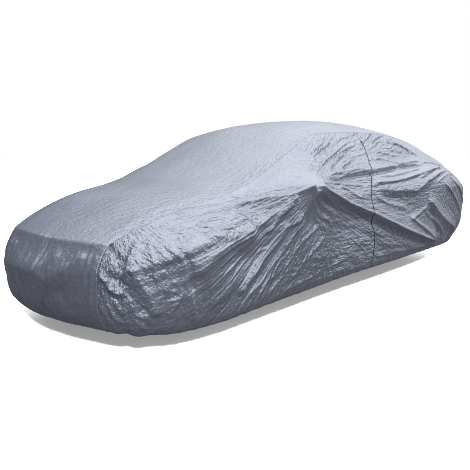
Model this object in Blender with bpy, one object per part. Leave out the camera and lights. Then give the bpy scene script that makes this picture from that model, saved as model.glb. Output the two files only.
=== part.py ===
"""Car cover, hollow and open below, in the shape in which it hangs when worn.

Metres. +X is the cover's left side, -Y its front, +Z up. The origin is the point
under the middle of its roof on which it rests, and the ground lies GROUND_DROP
below that.

The cover is sewn from a centre panel (front hem, over the whole top, rear hem), a
left side in two pieces with a zip between them, and a right side in one piece.
Every panel is a thin closed sheet. Its shape comes from one table of stations
along the top, one table of ribs round the skirt, and short tables of side tents,
folds and gathers.
"""
import bpy
import bmesh
import math
import numpy as np
from mathutils import Matrix, Vector

# ------------------------------------------------------------------ sizes
SHEET = 0.0020            # thickness of the cloth
SEAM_GAP = 0.0004         # clear space between two panels at a seam
GROUND_DROP = 1.466       # from the origin down to the ground
ROOF_Y = 0.350            # where the origin lies along the cover
ZIP_HALF = 0.0065         # half width of the zip strip
ZIP_PROUD = 0.0008        # the zip stands this far out of the cloth
ZIP_THICK = 0.0030
SLIDER_AT = 0.080         # share of the way down the side where the closed slider rests
RIGHT_TENT = 0.72         # the right side's tent, against the left one's
DISH_POWER = 2.3          # how evenly the top falls from its centre line to the seams
BEND = 0.24               # how tightly the skirt turns down at its shoulder

COLS = 10                 # strips across the centre panel
ROWS = 12                 # strips down a side
U_STEPS = ((0.0, 10), (3.0, 8), (5.0, 11), (7.0, 8), (9.0, 13), (15.0, 0))

# the top along its centre line
# y, height above the ground, half width to the seam, drop of the seam
TOP = [
    (-2.150, 0.703, 0.525, 0.036),
    (-2.000, 0.787, 0.568, 0.040),
    (-1.850, 0.851, 0.603, 0.043),
    (-1.500, 0.950, 0.668, 0.044),
    (-1.250, 1.000, 0.680, 0.050),
    (-1.050, 1.055, 0.680, 0.050),
    (-0.850, 1.135, 0.670, 0.050),
    (-0.600, 1.255, 0.655, 0.055),
    (-0.300, 1.394, 0.640, 0.068),
    (0.000, 1.446, 0.625, 0.093),
    (0.350, 1.468, 0.620, 0.110),
    (0.750, 1.460, 0.620, 0.110),
    (1.150, 1.415, 0.610, 0.105),
    (1.500, 1.340, 0.595, 0.095),
    (1.800, 1.255, 0.575, 0.085),
    (2.050, 1.182, 0.566, 0.075),
    (2.220, 1.125, 0.562, 0.065),
    (2.360, 1.045, 0.556, 0.060),
]

# ribs down the left skirt, from the nose seam round to the tail seam
# name, y of the seam, foot x, foot y, shoulder height, slope at the seam
# (degrees), hem height, tuck of the hem, shift of the hem along y
RIBS = [
    ("nose_seam", -2.085, 0.545, -2.165, 0.54, 55, 0.205, 0.050, 0.00),
    ("nose_corner", -2.000, 0.680, -2.065, 0.56, 50, 0.190, 0.050, 0.00),
    ("front_corner", -1.900, 0.785, -1.930, 0.60, 42, 0.178, 0.050, 0.00),
    ("wing_front", -1.750, 0.862, -1.750, 0.655, 37, 0.178, 0.045, 0.00),
    ("arch_front", -1.450, 0.903, -1.450, 0.712, 31, 0.190, 0.035, 0.00),
    ("wing_rear", -1.100, 0.915, -1.100, 0.78, 26, 0.215, 0.030, 0.00),
    ("tent", -0.760, 0.925, -0.760, 0.87, 26, 0.232, 0.030, 0.00),
    ("door_a", -0.350, 0.925, -0.400, 0.86, 45, 0.245, 0.030, 0.00),
    ("door_b", 0.050, 0.920, -0.080, 0.86, 50, 0.255, 0.030, 0.05),
    ("zip", 0.400, 0.915, 0.160, 0.86, 50, 0.258, 0.030, 0.08),
    ("door_c", 0.800, 0.912, 0.640, 0.86, 50, 0.258, 0.030, 0.05),
    ("door_d", 1.150, 0.905, 1.150, 0.86, 45, 0.260, 0.030, 0.00),
    ("arch_rear", 1.480, 0.890, 1.620, 0.84, 42, 0.250, 0.050, 0.00),
    ("quarter", 1.830, 0.868, 2.010, 0.80, 38, 0.240, 0.090, 0.00),
    ("tail_corner", 2.130, 0.780, 2.310, 0.74, 35, 0.230, 0.150, 0.00),
    ("tail_seam", 2.320, 0.570, 2.430, 0.70, 40, 0.220, 0.150, 0.00),
]
ZIP_RIB = 9

# middle ribs of the front and rear faces
# y of the rim, y of the foot, shoulder height, slope, hem height, tuck
FRONT_MID = (-2.155, -2.265, 0.52, 56, 0.192, 0.090)
REAR_MID = (2.360, 2.480, 0.70, 45, 0.220, 0.140)

# tent that stands out of each side, in the cloth's own flat
# measures: along = distance round the foot from the nose seam, up = distance
# above the hem. push = outward, lift = upward, then how far it reaches.
TENT = dict(along=1.550, up=0.735, push=0.118, lift=0.045,
            front=0.55, back=0.60, above=0.32, below=0.80, power=1.55)

# main folds of a side: height (mm), half width above and below the line (mm),
# share of the length over which each end fades, then points (along, up)
FOLDS = [
    ("tent_to_rear_arch", 26, 95, 70, 0.02, 0.30,
     ((1.60, 0.735), (2.05, 0.600), (2.46, 0.470), (3.15, 0.250), (3.90, 0.060))),
    ("tent_to_front", 14, 90, 70, 0.02, 0.50,
     ((1.50, 0.730), (1.25, 0.715), (0.95, 0.720), (0.72, 0.735))),
    ("tent_to_front_arch", 16, 80, 80, 0.05, 0.30,
     ((1.48, 0.690), (1.20, 0.490), (0.98, 0.270), (0.80, 0.100))),
    ("rear_trough", -16, 70, 90, 0.20, 0.25,
     ((1.85, 0.765), (2.46, 0.780), (3.00, 0.795), (3.80, 0.840))),
    ("belt_line", 14, 80, 110, 0.15, 0.30,
     ((2.48, 0.640), (2.90, 0.640), (3.33, 0.590), (3.80, 0.690))),
    ("tail_ridge", 14, 80, 80, 0.20, 0.20,
     ((3.55, 0.480), (3.90, 0.360), (4.25, 0.190))),
    ("wing_ridge", 16, 80, 70, 0.15, 0.10,
     ((0.50, 0.690), (0.47, 0.470), (0.52, 0.310), (0.58, 0.080))),
    ("corner_ridge", 12, 70, 70, 0.20, 0.10,
     ((0.18, 0.420), (0.27, 0.280), (0.35, 0.060))),
    ("wing_trough", -14, 80, 80, 0.20, 0.25,
     ((0.60, 0.420), (0.75, 0.460), (0.93, 0.520))),
]

# gathers along the elastic hem: centre along, half length, how far out (mm)
GATHERS = [
    (0.08, 0.045, 9), (0.16, 0.040, -7), (0.24, 0.045, 11), (0.33, 0.045, -5),
    (4.30, 0.060, 6), (4.42, 0.050, -7), (4.54, 0.055, 8), (4.68, 0.050, -6),
]
GATHER_RISE = 0.10        # the gathers fade out this far above the hem

# the cloth sinks over hollows: x, y, radius x, radius y, depth (mm)
TOP_SINKS = [
    (0.00, -1.02, 0.62, 0.22, -10),
    (0.00, 1.55, 0.50, 0.45, -8),
    (0.42, 0.75, 0.16, 0.50, -5),
    (-0.42, 0.75, 0.16, 0.50, -5),
]

# the zip wanders a little from its rib: by how much along the foot, at heights
# above the hem
ZIP_SHIFT_UP = (0.0, 0.10, 0.25, 0.45, 0.60, 0.78, 0.95, 1.06, 1.26)
ZIP_SHIFT_BY = (-0.035, 0.005, 0.030, -0.024, -0.016, 0.050, 0.080, 0.066, 0.000)
ZIP_SHIFT_REACH = 0.30

# colour, roughness
CLOTH = ((0.340, 0.365, 0.425, 1.0), 0.42)
DARK = ((0.020, 0.020, 0.024, 1.0), 0.50)


# ------------------------------------------------------------------ curves
def smooth(xs, ys, x):
    """Smooth curve through the points of a table, read at x."""
    xs, ys = np.asarray(xs, float), np.asarray(ys, float)
    x = np.clip(np.asarray(x, float), xs[0], xs[-1])
    h = np.diff(xs)
    d = np.diff(ys) / h
    m = np.zeros_like(ys)
    m[0], m[-1] = d[0], d[-1]
    for i in range(1, len(xs) - 1):
        m[i] = (d[i - 1] * h[i] + d[i] * h[i - 1]) / (h[i - 1] + h[i])
    i = np.clip(np.searchsorted(xs, x, side="right") - 1, 0, len(xs) - 2)
    t = (x - xs[i]) / h[i]
    return ((1 + 2 * t) * (1 - t) ** 2 * ys[i] + t * (1 - t) ** 2 * h[i] * m[i]
            + t * t * (3 - 2 * t) * ys[i + 1] + t * t * (t - 1) * h[i] * m[i + 1])


TOP_COL = np.array(TOP).T


def top_z(y):
    return smooth(TOP_COL[0], TOP_COL[1], y)


def seam_x(y):
    return smooth(TOP_COL[0], TOP_COL[2], y)


def seam_drop(y):
    return smooth(TOP_COL[0], TOP_COL[3], y)


def top_height(y, share):
    return top_z(y) - seam_drop(y) * np.abs(share) ** DISH_POWER


def rib(rim, foot_x, foot_y, shoulder, slope, hem, tuck, shift, share):
    """Curves from the rim down to the hem; share = 0 at the rim, 1 at the hem."""
    rim = np.asarray(rim, float)
    n = len(rim)
    away = np.stack([foot_x, foot_y], -1) - rim[:, :2]
    reach = np.linalg.norm(away, axis=1)
    out = away / reach[:, None]
    fall = rim[:, 2] - shoulder
    a = np.radians(slope)
    lead = 0.55 * np.minimum(reach / np.maximum(np.cos(a), 0.2),
                             fall / np.maximum(np.sin(a), 0.2))
    lead = np.minimum(lead, 0.6 * np.hypot(reach, fall))
    p0 = np.stack([0 * reach, rim[:, 2]], -1)
    p1 = np.stack([lead * np.cos(a), rim[:, 2] - lead * np.sin(a)], -1)
    p2 = np.stack([reach, shoulder + BEND * fall], -1)
    p3 = np.stack([reach, shoulder], -1)
    t = np.linspace(0, 1, 64)[None, :, None]
    upper = ((1 - t) ** 3 * p0[:, None] + 3 * (1 - t) ** 2 * t * p1[:, None]
             + 3 * (1 - t) * t * t * p2[:, None] + t ** 3 * p3[:, None])
    w = np.linspace(0, 1, 64)[None, 1:]
    z = shoulder[:, None] + (hem - shoulder)[:, None] * w
    r = reach[:, None] - tuck[:, None] * np.clip((w - 0.45) / 0.55, 0, 1) ** 2.2
    curve = np.concatenate([upper, np.stack([r, z], -1)], 1)
    low = np.clip((shoulder[:, None] - curve[:, :, 1]) / (shoulder - hem)[:, None], 0, 1)
    pts = np.stack([rim[:, None, 0] + out[:, None, 0] * curve[:, :, 0],
                    rim[:, None, 1] + out[:, None, 1] * curve[:, :, 0] + shift[:, None] * low,
                    curve[:, :, 1]], -1)
    run = np.concatenate([np.zeros((n, 1)),
                          np.cumsum(np.linalg.norm(np.diff(pts, axis=1), axis=2), 1)], 1)
    res, up = np.zeros((n, len(share), 3)), np.zeros((n, len(share)))
    for i in range(n):
        for k in range(3):
            res[i, :, k] = np.interp(share * run[i, -1], run[i], pts[i, :, k])
        up[i] = run[i, -1] * (1 - share)
    return res, up


RIB_COL = np.array([r[1:] for r in RIBS], float).T
RIB_NO = np.arange(len(RIBS), dtype=float)


def side_ribs(u, share):
    """Left skirt at rib numbers u."""
    c = [smooth(RIB_NO, col, u) for col in RIB_COL]
    rim = np.stack([seam_x(c[0]), c[0], top_height(c[0], 1.0)], -1)
    return rib(rim, *c[1:], share)


def face_ribs(s, share, mid, end):
    """Front or rear face; s runs from -1 (right seam) to 1 (left seam)."""
    a = np.abs(s) ** 2
    _, rim_y1, foot_x1, foot_y1, sh1, slope1, hem1, tuck1, _ = end
    rim_y0, foot_y0, sh0, slope0, hem0, tuck0 = mid

    def mix(p, q):
        return p + (q - p) * a

    rim_y = mix(rim_y0, rim_y1)
    rim = np.stack([s * seam_x(np.full_like(s, rim_y1)), rim_y, top_height(rim_y, s)], -1)
    return rib(rim, s * foot_x1, mix(foot_y0, foot_y1), mix(sh0, sh1), mix(slope0, slope1),
               mix(hem0, hem1), mix(tuck0, tuck1), 0 * s, share)


def foot_run(u):
    """Distance along the foot of the skirt from the nose seam to rib number u."""
    fine = np.linspace(0, len(RIBS) - 1, 1501)
    x, y = smooth(RIB_NO, RIB_COL[1], fine), smooth(RIB_NO, RIB_COL[2], fine)
    run = np.concatenate([[0], np.cumsum(np.hypot(np.diff(x), np.diff(y)))])
    return np.interp(u, fine, run)


# ------------------------------------------------------------------ folds
def fade(x, edge):
    t = np.clip(x / edge, 0, 1)
    return t * t * (3 - 2 * t)


def fold_height(along, up, fold):
    """Height of one fold at each place of the flat cloth."""
    _, mm, above, below, fade_a, fade_b, pts = fold
    p = np.array(pts)
    seg = np.diff(p, axis=0)
    length = np.linalg.norm(seg, axis=1)
    total = length.sum()
    best = np.full(along.shape, 1e9)
    side = np.ones(along.shape)
    where = np.zeros(along.shape)
    start = 0.0
    for a, d, ln in zip(p[:-1], seg, length):
        rx, ry = along - a[0], up - a[1]
        t = np.clip((rx * d[0] + ry * d[1]) / ln ** 2, 0, 1)
        ex, ey = rx - t * d[0], ry - t * d[1]
        dist = np.hypot(ex, ey)
        near = dist < best
        best = np.where(near, dist, best)
        side = np.where(near, np.where(ey >= 0, 1.0, -1.0), side)
        where = np.where(near, (start + t * ln) / total, where)
        start += ln
    width = np.where(side > 0, above, below) / 1000.0
    ends = fade(where + 1e-6, max(fade_a, 1e-3)) * fade(1 - where + 1e-6, max(fade_b, 1e-3))
    return mm / 1000.0 * np.exp(-(best / width) ** 1.6) * ends


def tent_share(along, up):
    da, du = along - TENT["along"], up - TENT["up"]
    rho = np.hypot(da / np.where(da < 0, TENT["front"], TENT["back"]),
                   du / np.where(du > 0, TENT["above"], TENT["below"]))
    return np.clip(1 - rho, 0, 1) ** TENT["power"]


def zip_shift(along, up):
    """How far the cloth lies from its rib near the wandering zip."""
    by = smooth(ZIP_SHIFT_UP, ZIP_SHIFT_BY, up)
    return by * np.exp(-((along - foot_run(ZIP_RIB)) / ZIP_SHIFT_REACH) ** 2)


def facing(grid):
    """Unit normals of a grid of points."""
    n = np.cross(np.gradient(grid, axis=1), np.gradient(grid, axis=0))
    return n / np.linalg.norm(n, axis=2, keepdims=True)


def side_shape(u, share, tent):
    """Left skirt with its tent, folds and gathers."""
    base, up = side_ribs(u, share)
    along = np.repeat(foot_run(u)[:, None], len(share), 1)
    top_run = up[:, :1] - up
    by = zip_shift(along, up) * fade(top_run, 0.15)
    on = np.gradient(base, axis=0)
    base = base + on / np.linalg.norm(on, axis=2, keepdims=True) * by[:, :, None]
    n = facing(base)
    if n[len(u) // 2, len(share) // 2, 0] < 0:
        n = -n
    # nothing moves at the seams, so that the panels still meet there
    ends = fade(along, 0.05) * fade(along[-1, 0] - along, 0.05)
    along = along + by
    lift = sum(fold_height(along, up, f) for f in FOLDS) * fade(top_run, 0.10) * ends
    hem = np.exp(-(up / GATHER_RISE) ** 2) * ends
    for at, half, mm in GATHERS:
        lift = lift + mm / 1000.0 * np.exp(-((along - at) / half) ** 2) * hem
    pts = base + n * lift[:, :, None]
    share_t = tent * tent_share(along, up) * fade(top_run, 0.10)
    pts[:, :, 0] += TENT["push"] * share_t
    pts[:, :, 2] += TENT["lift"] * share_t
    return pts


def centre_shape(u, share):
    """Rows from the front hem over the top to the rear hem, columns from right to left."""
    s = np.linspace(-1, 1, COLS + 1)
    a = np.abs(s) ** 2
    rim_y = smooth(RIB_NO, RIB_COL[0], u)
    w = (rim_y - rim_y[0]) / (rim_y[-1] - rim_y[0])
    y0 = FRONT_MID[0] + (rim_y[0] - FRONT_MID[0]) * a
    y1 = REAR_MID[0] + (rim_y[-1] - REAR_MID[0]) * a
    y = y0[None] + (y1 - y0)[None] * w[:, None]
    top = np.stack([s[None] * seam_x(rim_y)[:, None], y, top_height(y, s[None])], -1)
    for x0, yc, rx, ry, mm in TOP_SINKS:
        hump = np.exp(-((top[:, :, 0] - x0) / rx) ** 2 - ((top[:, :, 1] - yc) / ry) ** 2)
        top[:, :, 2] += mm / 1000.0 * hump * fade(1 - np.abs(s), 0.25)[None]
    front, _ = face_ribs(s, share, FRONT_MID, RIBS[0])
    rear, _ = face_ribs(s, share, REAR_MID, RIBS[-1])
    front = front.transpose(1, 0, 2)[::-1]
    rear = rear.transpose(1, 0, 2)
    return np.concatenate([front[:-1], top, rear[1:]], 0)


# ------------------------------------------------------------------ sheets
def key(p):
    return tuple(int(round(v * 1e5)) for v in p)


def shared_normals(grids):
    """Outward normals at every point, averaged over all the panels that meet there."""
    total = {}
    for g in grids:
        a, b, c, d = g[:-1, :-1], g[1:, :-1], g[1:, 1:], g[:-1, 1:]
        n = np.cross(c - a, d - b)
        mid = n.shape[0] // 2, n.shape[1] // 2
        if n[mid] @ (g[mid] - np.array([0, 0.2, 0.6])) < 0:
            n = -n
        for corner in (a, b, c, d):
            for p, v in zip(corner.reshape(-1, 3), n.reshape(-1, 3)):
                k = key(p)
                total[k] = total.get(k, 0) + v
    res = []
    for g in grids:
        n = np.array([total[key(p)] for p in g.reshape(-1, 3)])
        n /= np.linalg.norm(n, axis=1, keepdims=True)
        res.append(n.reshape(g.shape))
    return res


def inset(grid, edge, by):
    """Moves one edge row of a grid back over its own surface."""
    g = grid.copy()
    a, b = {"first_row": (g[0], g[1]), "last_row": (g[-1], g[-2]),
            "first_col": (g[:, 0], g[:, 1]), "last_col": (g[:, -1], g[:, -2])}[edge]
    d = b - a
    a += d / np.linalg.norm(d, axis=1, keepdims=True) * by
    return g


def place(p):
    """Ground frame to the part's own frame."""
    return (p[0], p[1] - ROOF_Y, p[2] - GROUND_DROP)


def finish(name, colour, metallic=0.0):
    m = bpy.data.materials.new(name)
    m.use_nodes = True
    b = m.node_tree.nodes["Principled BSDF"]
    b.inputs["Base Color"].default_value = colour[0]
    b.inputs["Roughness"].default_value = colour[1]
    b.inputs["Metallic"].default_value = metallic
    return m


def sheet(name, outer, normals, thick, material, proud=0.0):
    """A closed thin sheet: outer face, inner face and the four edges."""
    bm = bmesh.new()
    nr, nc = outer.shape[:2]
    out = [[bm.verts.new(place(outer[i, j] + normals[i, j] * proud)) for j in range(nc)]
           for i in range(nr)]
    inn = [[bm.verts.new(place(outer[i, j] + normals[i, j] * (proud - thick))) for j in range(nc)]
           for i in range(nr)]
    for i in range(nr - 1):
        for j in range(nc - 1):
            bm.faces.new((out[i][j], out[i + 1][j], out[i + 1][j + 1], out[i][j + 1]))
            bm.faces.new((inn[i][j], inn[i][j + 1], inn[i + 1][j + 1], inn[i + 1][j]))
    for i in range(nr - 1):
        bm.faces.new((out[i][0], inn[i][0], inn[i + 1][0], out[i + 1][0]))
        bm.faces.new((out[i][-1], out[i + 1][-1], inn[i + 1][-1], inn[i][-1]))
    for j in range(nc - 1):
        bm.faces.new((out[0][j], out[0][j + 1], inn[0][j + 1], inn[0][j]))
        bm.faces.new((out[-1][j], inn[-1][j], inn[-1][j + 1], out[-1][j + 1]))
    if bm.calc_volume(signed=True) < 0:
        bmesh.ops.reverse_faces(bm, faces=bm.faces)
    me = bpy.data.meshes.new(name)
    bm.to_mesh(me)
    bm.free()
    me.shade_smooth()
    me.set_sharp_from_angle(angle=math.radians(50))
    ob = bpy.data.objects.new(name, me)
    ob.data.materials.append(material)
    bpy.context.collection.objects.link(ob)
    return ob


def small_block(name, size, bevel, at, axes, material):
    """A bevelled block of the given size, standing on the point at."""
    bm = bmesh.new()
    bmesh.ops.create_cube(bm, size=1.0)
    bmesh.ops.scale(bm, vec=Vector(size), verts=bm.verts)
    bmesh.ops.translate(bm, vec=Vector((0, 0, size[2] / 2)), verts=bm.verts)
    bmesh.ops.bevel(bm, geom=list(bm.edges), offset=bevel, segments=2, profile=0.5,
                    affect="EDGES")
    me = bpy.data.meshes.new(name)
    bm.to_mesh(me)
    bm.free()
    me.shade_smooth()
    me.set_sharp_from_angle(angle=math.radians(40))
    ob = bpy.data.objects.new(name, me)
    rot = Matrix([list(a) for a in axes]).transposed().to_4x4()
    ob.matrix_world = Matrix.Translation(Vector(place(at))) @ rot
    ob.data.materials.append(material)
    bpy.context.collection.objects.link(ob)
    return ob


def main():
    for o in list(bpy.data.objects):
        bpy.data.objects.remove(o)

    share = np.linspace(0, 1, ROWS + 1)
    u = np.concatenate([np.linspace(a[0], b[0], a[1], endpoint=False)
                        for a, b in zip(U_STEPS[:-1], U_STEPS[1:])] + [[U_STEPS[-1][0]]])
    at_zip = int(np.argmin(np.abs(u - ZIP_RIB)))
    left = side_shape(u, share, 1.0)
    right = side_shape(u, share, RIGHT_TENT) * np.array([-1.0, 1.0, 1.0])
    centre = centre_shape(u, share)
    n_left, n_right, n_centre = shared_normals([left, right, centre])

    half = SEAM_GAP / 2
    cloth = {n: finish(n, CLOTH) for n in
             ("centre_panel", "left_front_side", "left_rear_side", "right_side")}
    g = centre
    for e in ("first_col", "last_col"):
        g = inset(g, e, half)
    sheet("centre_panel", g, n_centre, SHEET, cloth["centre_panel"])

    g = inset(inset(inset(right, "first_col", half), "first_row", half), "last_row", half)
    sheet("right_side", g, n_right, SHEET, cloth["right_side"])

    g = inset(left, "first_col", half)
    front = inset(inset(g[:at_zip + 1], "first_row", half), "last_row", ZIP_HALF + 0.0003)
    sheet("left_front_side", front, n_left[:at_zip + 1], SHEET, cloth["left_front_side"])
    rear = inset(inset(g[at_zip:], "first_row", ZIP_HALF + 0.0003), "last_row", half)
    sheet("left_rear_side", rear, n_left[at_zip:], SHEET, cloth["left_rear_side"])

    line, n_line = g[at_zip], n_left[at_zip]
    back = g[at_zip + 1] - line
    back /= np.linalg.norm(back, axis=1, keepdims=True)
    ahead = g[at_zip - 1] - line
    ahead /= np.linalg.norm(ahead, axis=1, keepdims=True)
    strip = np.stack([line + ahead * ZIP_HALF, line, line + back * ZIP_HALF])
    sheet("zip_strip", strip, np.stack([n_line] * 3), ZIP_THICK,
          finish("zip_strip", DARK), proud=ZIP_PROUD)

    # slider and its pull at the top of the closed zip
    i = int(SLIDER_AT * ROWS)
    down = line[i + 1] - line[i]
    top = line[i] + down * (SLIDER_AT * ROWS - i)
    down /= np.linalg.norm(down)
    n = np.cross(down, np.cross(n_line[i], down))
    n /= np.linalg.norm(n)
    across = np.cross(down, n)
    base = top + n * (ZIP_PROUD + 0.0014)
    small_block("zip_slider", (0.011, 0.016, 0.0045), 0.0009, base, (across, down, n),
                finish("zip_slider", DARK, 0.6))
    small_block("zip_pull", (0.007, 0.030, 0.0016), 0.0004,
                base + n * 0.0051 + down * 0.012, (across, down, n),
                finish("zip_pull", DARK, 0.6))


main()
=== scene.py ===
"""The looks of a fitted car cover: crinkled silver film cloth in sewn panels, with a
dark side zip, stitched seams and a turned, gathered hem.

The panels repeat the construction's own tables, and are then worked up with the
smaller folds, creases and crinkles, all given in the cloth's flat measures:
along = distance round the foot from the nose seam, up = distance above the hem.
"""
import bmesh
import bpy
import math
import numpy as np
from mathutils import Matrix, Vector


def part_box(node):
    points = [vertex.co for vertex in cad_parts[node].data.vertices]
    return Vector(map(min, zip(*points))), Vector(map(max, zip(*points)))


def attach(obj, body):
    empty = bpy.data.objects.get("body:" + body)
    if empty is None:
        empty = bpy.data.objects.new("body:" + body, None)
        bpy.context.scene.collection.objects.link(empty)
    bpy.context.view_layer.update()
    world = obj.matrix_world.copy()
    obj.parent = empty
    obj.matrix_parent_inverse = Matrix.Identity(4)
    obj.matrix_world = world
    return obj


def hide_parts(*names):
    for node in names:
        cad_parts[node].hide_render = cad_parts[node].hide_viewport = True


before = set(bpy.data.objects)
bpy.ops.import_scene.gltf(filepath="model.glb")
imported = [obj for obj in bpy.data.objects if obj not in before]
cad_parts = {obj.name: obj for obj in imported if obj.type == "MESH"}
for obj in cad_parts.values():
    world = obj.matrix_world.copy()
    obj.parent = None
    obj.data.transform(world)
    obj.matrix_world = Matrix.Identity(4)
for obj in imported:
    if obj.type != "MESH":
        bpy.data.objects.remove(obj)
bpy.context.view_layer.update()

# ------------------------------------------------------------------ sizes
SHEET = 0.0016            # thickness of the cloth as shown
SEAM_GAP = 0.0004
GROUND_DROP = 1.466       # from the origin down to the ground
ROOF_Y = 0.350            # where the origin lies along the cover
ZIP_HALF = 0.0054
ZIP_TOP = 0.066            # share of the side above the zip that stays sewn shut
DISH_POWER = 2.3
RIGHT_TENT = 0.72          # the right side's tent, against the left one's
BEND = 0.24                # how tightly the skirt turns down at its shoulder

CELLS_FRONT = (336, 142)  # cells along and down each panel
CELLS_REAR = (330, 144)
CELLS_RIGHT = (486, 98)
CELLS_CENTRE = 104        # across the centre panel
CELLS_FACE = 42           # down its front and rear faces
CELLS_TOP = 370           # along its top

# y, height above the ground, half width to the seam, drop of the seam
TOP = [
    (-2.150, 0.703, 0.525, 0.036),
    (-2.000, 0.787, 0.568, 0.040),
    (-1.850, 0.851, 0.603, 0.043),
    (-1.500, 0.950, 0.668, 0.044),
    (-1.250, 1.000, 0.680, 0.050),
    (-1.050, 1.055, 0.680, 0.050),
    (-0.850, 1.135, 0.670, 0.050),
    (-0.600, 1.255, 0.655, 0.055),
    (-0.300, 1.394, 0.640, 0.068),
    (0.000, 1.446, 0.625, 0.093),
    (0.350, 1.468, 0.620, 0.110),
    (0.750, 1.460, 0.620, 0.110),
    (1.150, 1.415, 0.610, 0.105),
    (1.500, 1.340, 0.595, 0.095),
    (1.800, 1.255, 0.575, 0.085),
    (2.050, 1.182, 0.566, 0.075),
    (2.220, 1.125, 0.562, 0.065),
    (2.360, 1.045, 0.556, 0.060),
]

# name, y of the seam, foot x, foot y, shoulder height, slope at the seam,
# hem height, tuck of the hem, shift of the hem along y
RIBS = [
    ("nose_seam", -2.085, 0.545, -2.165, 0.54, 55, 0.205, 0.050, 0.00),
    ("nose_corner", -2.000, 0.680, -2.065, 0.56, 50, 0.190, 0.050, 0.00),
    ("side_a", -1.900, 0.785, -1.930, 0.60, 42, 0.178, 0.050, 0.00),
    ("wing_front", -1.750, 0.862, -1.750, 0.655, 37, 0.178, 0.045, 0.00),
    ("side_b", -1.450, 0.903, -1.450, 0.712, 31, 0.190, 0.035, 0.00),
    ("wing_rear", -1.100, 0.915, -1.100, 0.78, 26, 0.215, 0.030, 0.00),
    ("tent", -0.760, 0.925, -0.760, 0.87, 26, 0.232, 0.030, 0.00),
    ("side_c", -0.350, 0.925, -0.400, 0.86, 45, 0.245, 0.030, 0.00),
    ("side_d", 0.050, 0.920, -0.080, 0.86, 50, 0.255, 0.030, 0.05),
    ("zip", 0.400, 0.915, 0.160, 0.86, 50, 0.258, 0.030, 0.08),
    ("side_e", 0.800, 0.912, 0.640, 0.86, 50, 0.258, 0.030, 0.05),
    ("side_f", 1.150, 0.905, 1.150, 0.86, 45, 0.260, 0.030, 0.00),
    ("side_g", 1.480, 0.890, 1.620, 0.84, 42, 0.250, 0.050, 0.00),
    ("quarter", 1.830, 0.868, 2.010, 0.80, 38, 0.240, 0.090, 0.00),
    ("tail_corner", 2.130, 0.780, 2.310, 0.74, 35, 0.230, 0.150, 0.00),
    ("tail_seam", 2.320, 0.570, 2.430, 0.70, 40, 0.220, 0.150, 0.00),
]
ZIP_RIB = 9
FRONT_MID = (-2.155, -2.265, 0.52, 56, 0.192, 0.090)
REAR_MID = (2.360, 2.480, 0.70, 45, 0.220, 0.140)

TENT = dict(along=1.550, up=0.735, push=0.118, lift=0.045,
            front=0.55, back=0.60, above=0.32, below=0.80, power=1.55)

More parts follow.
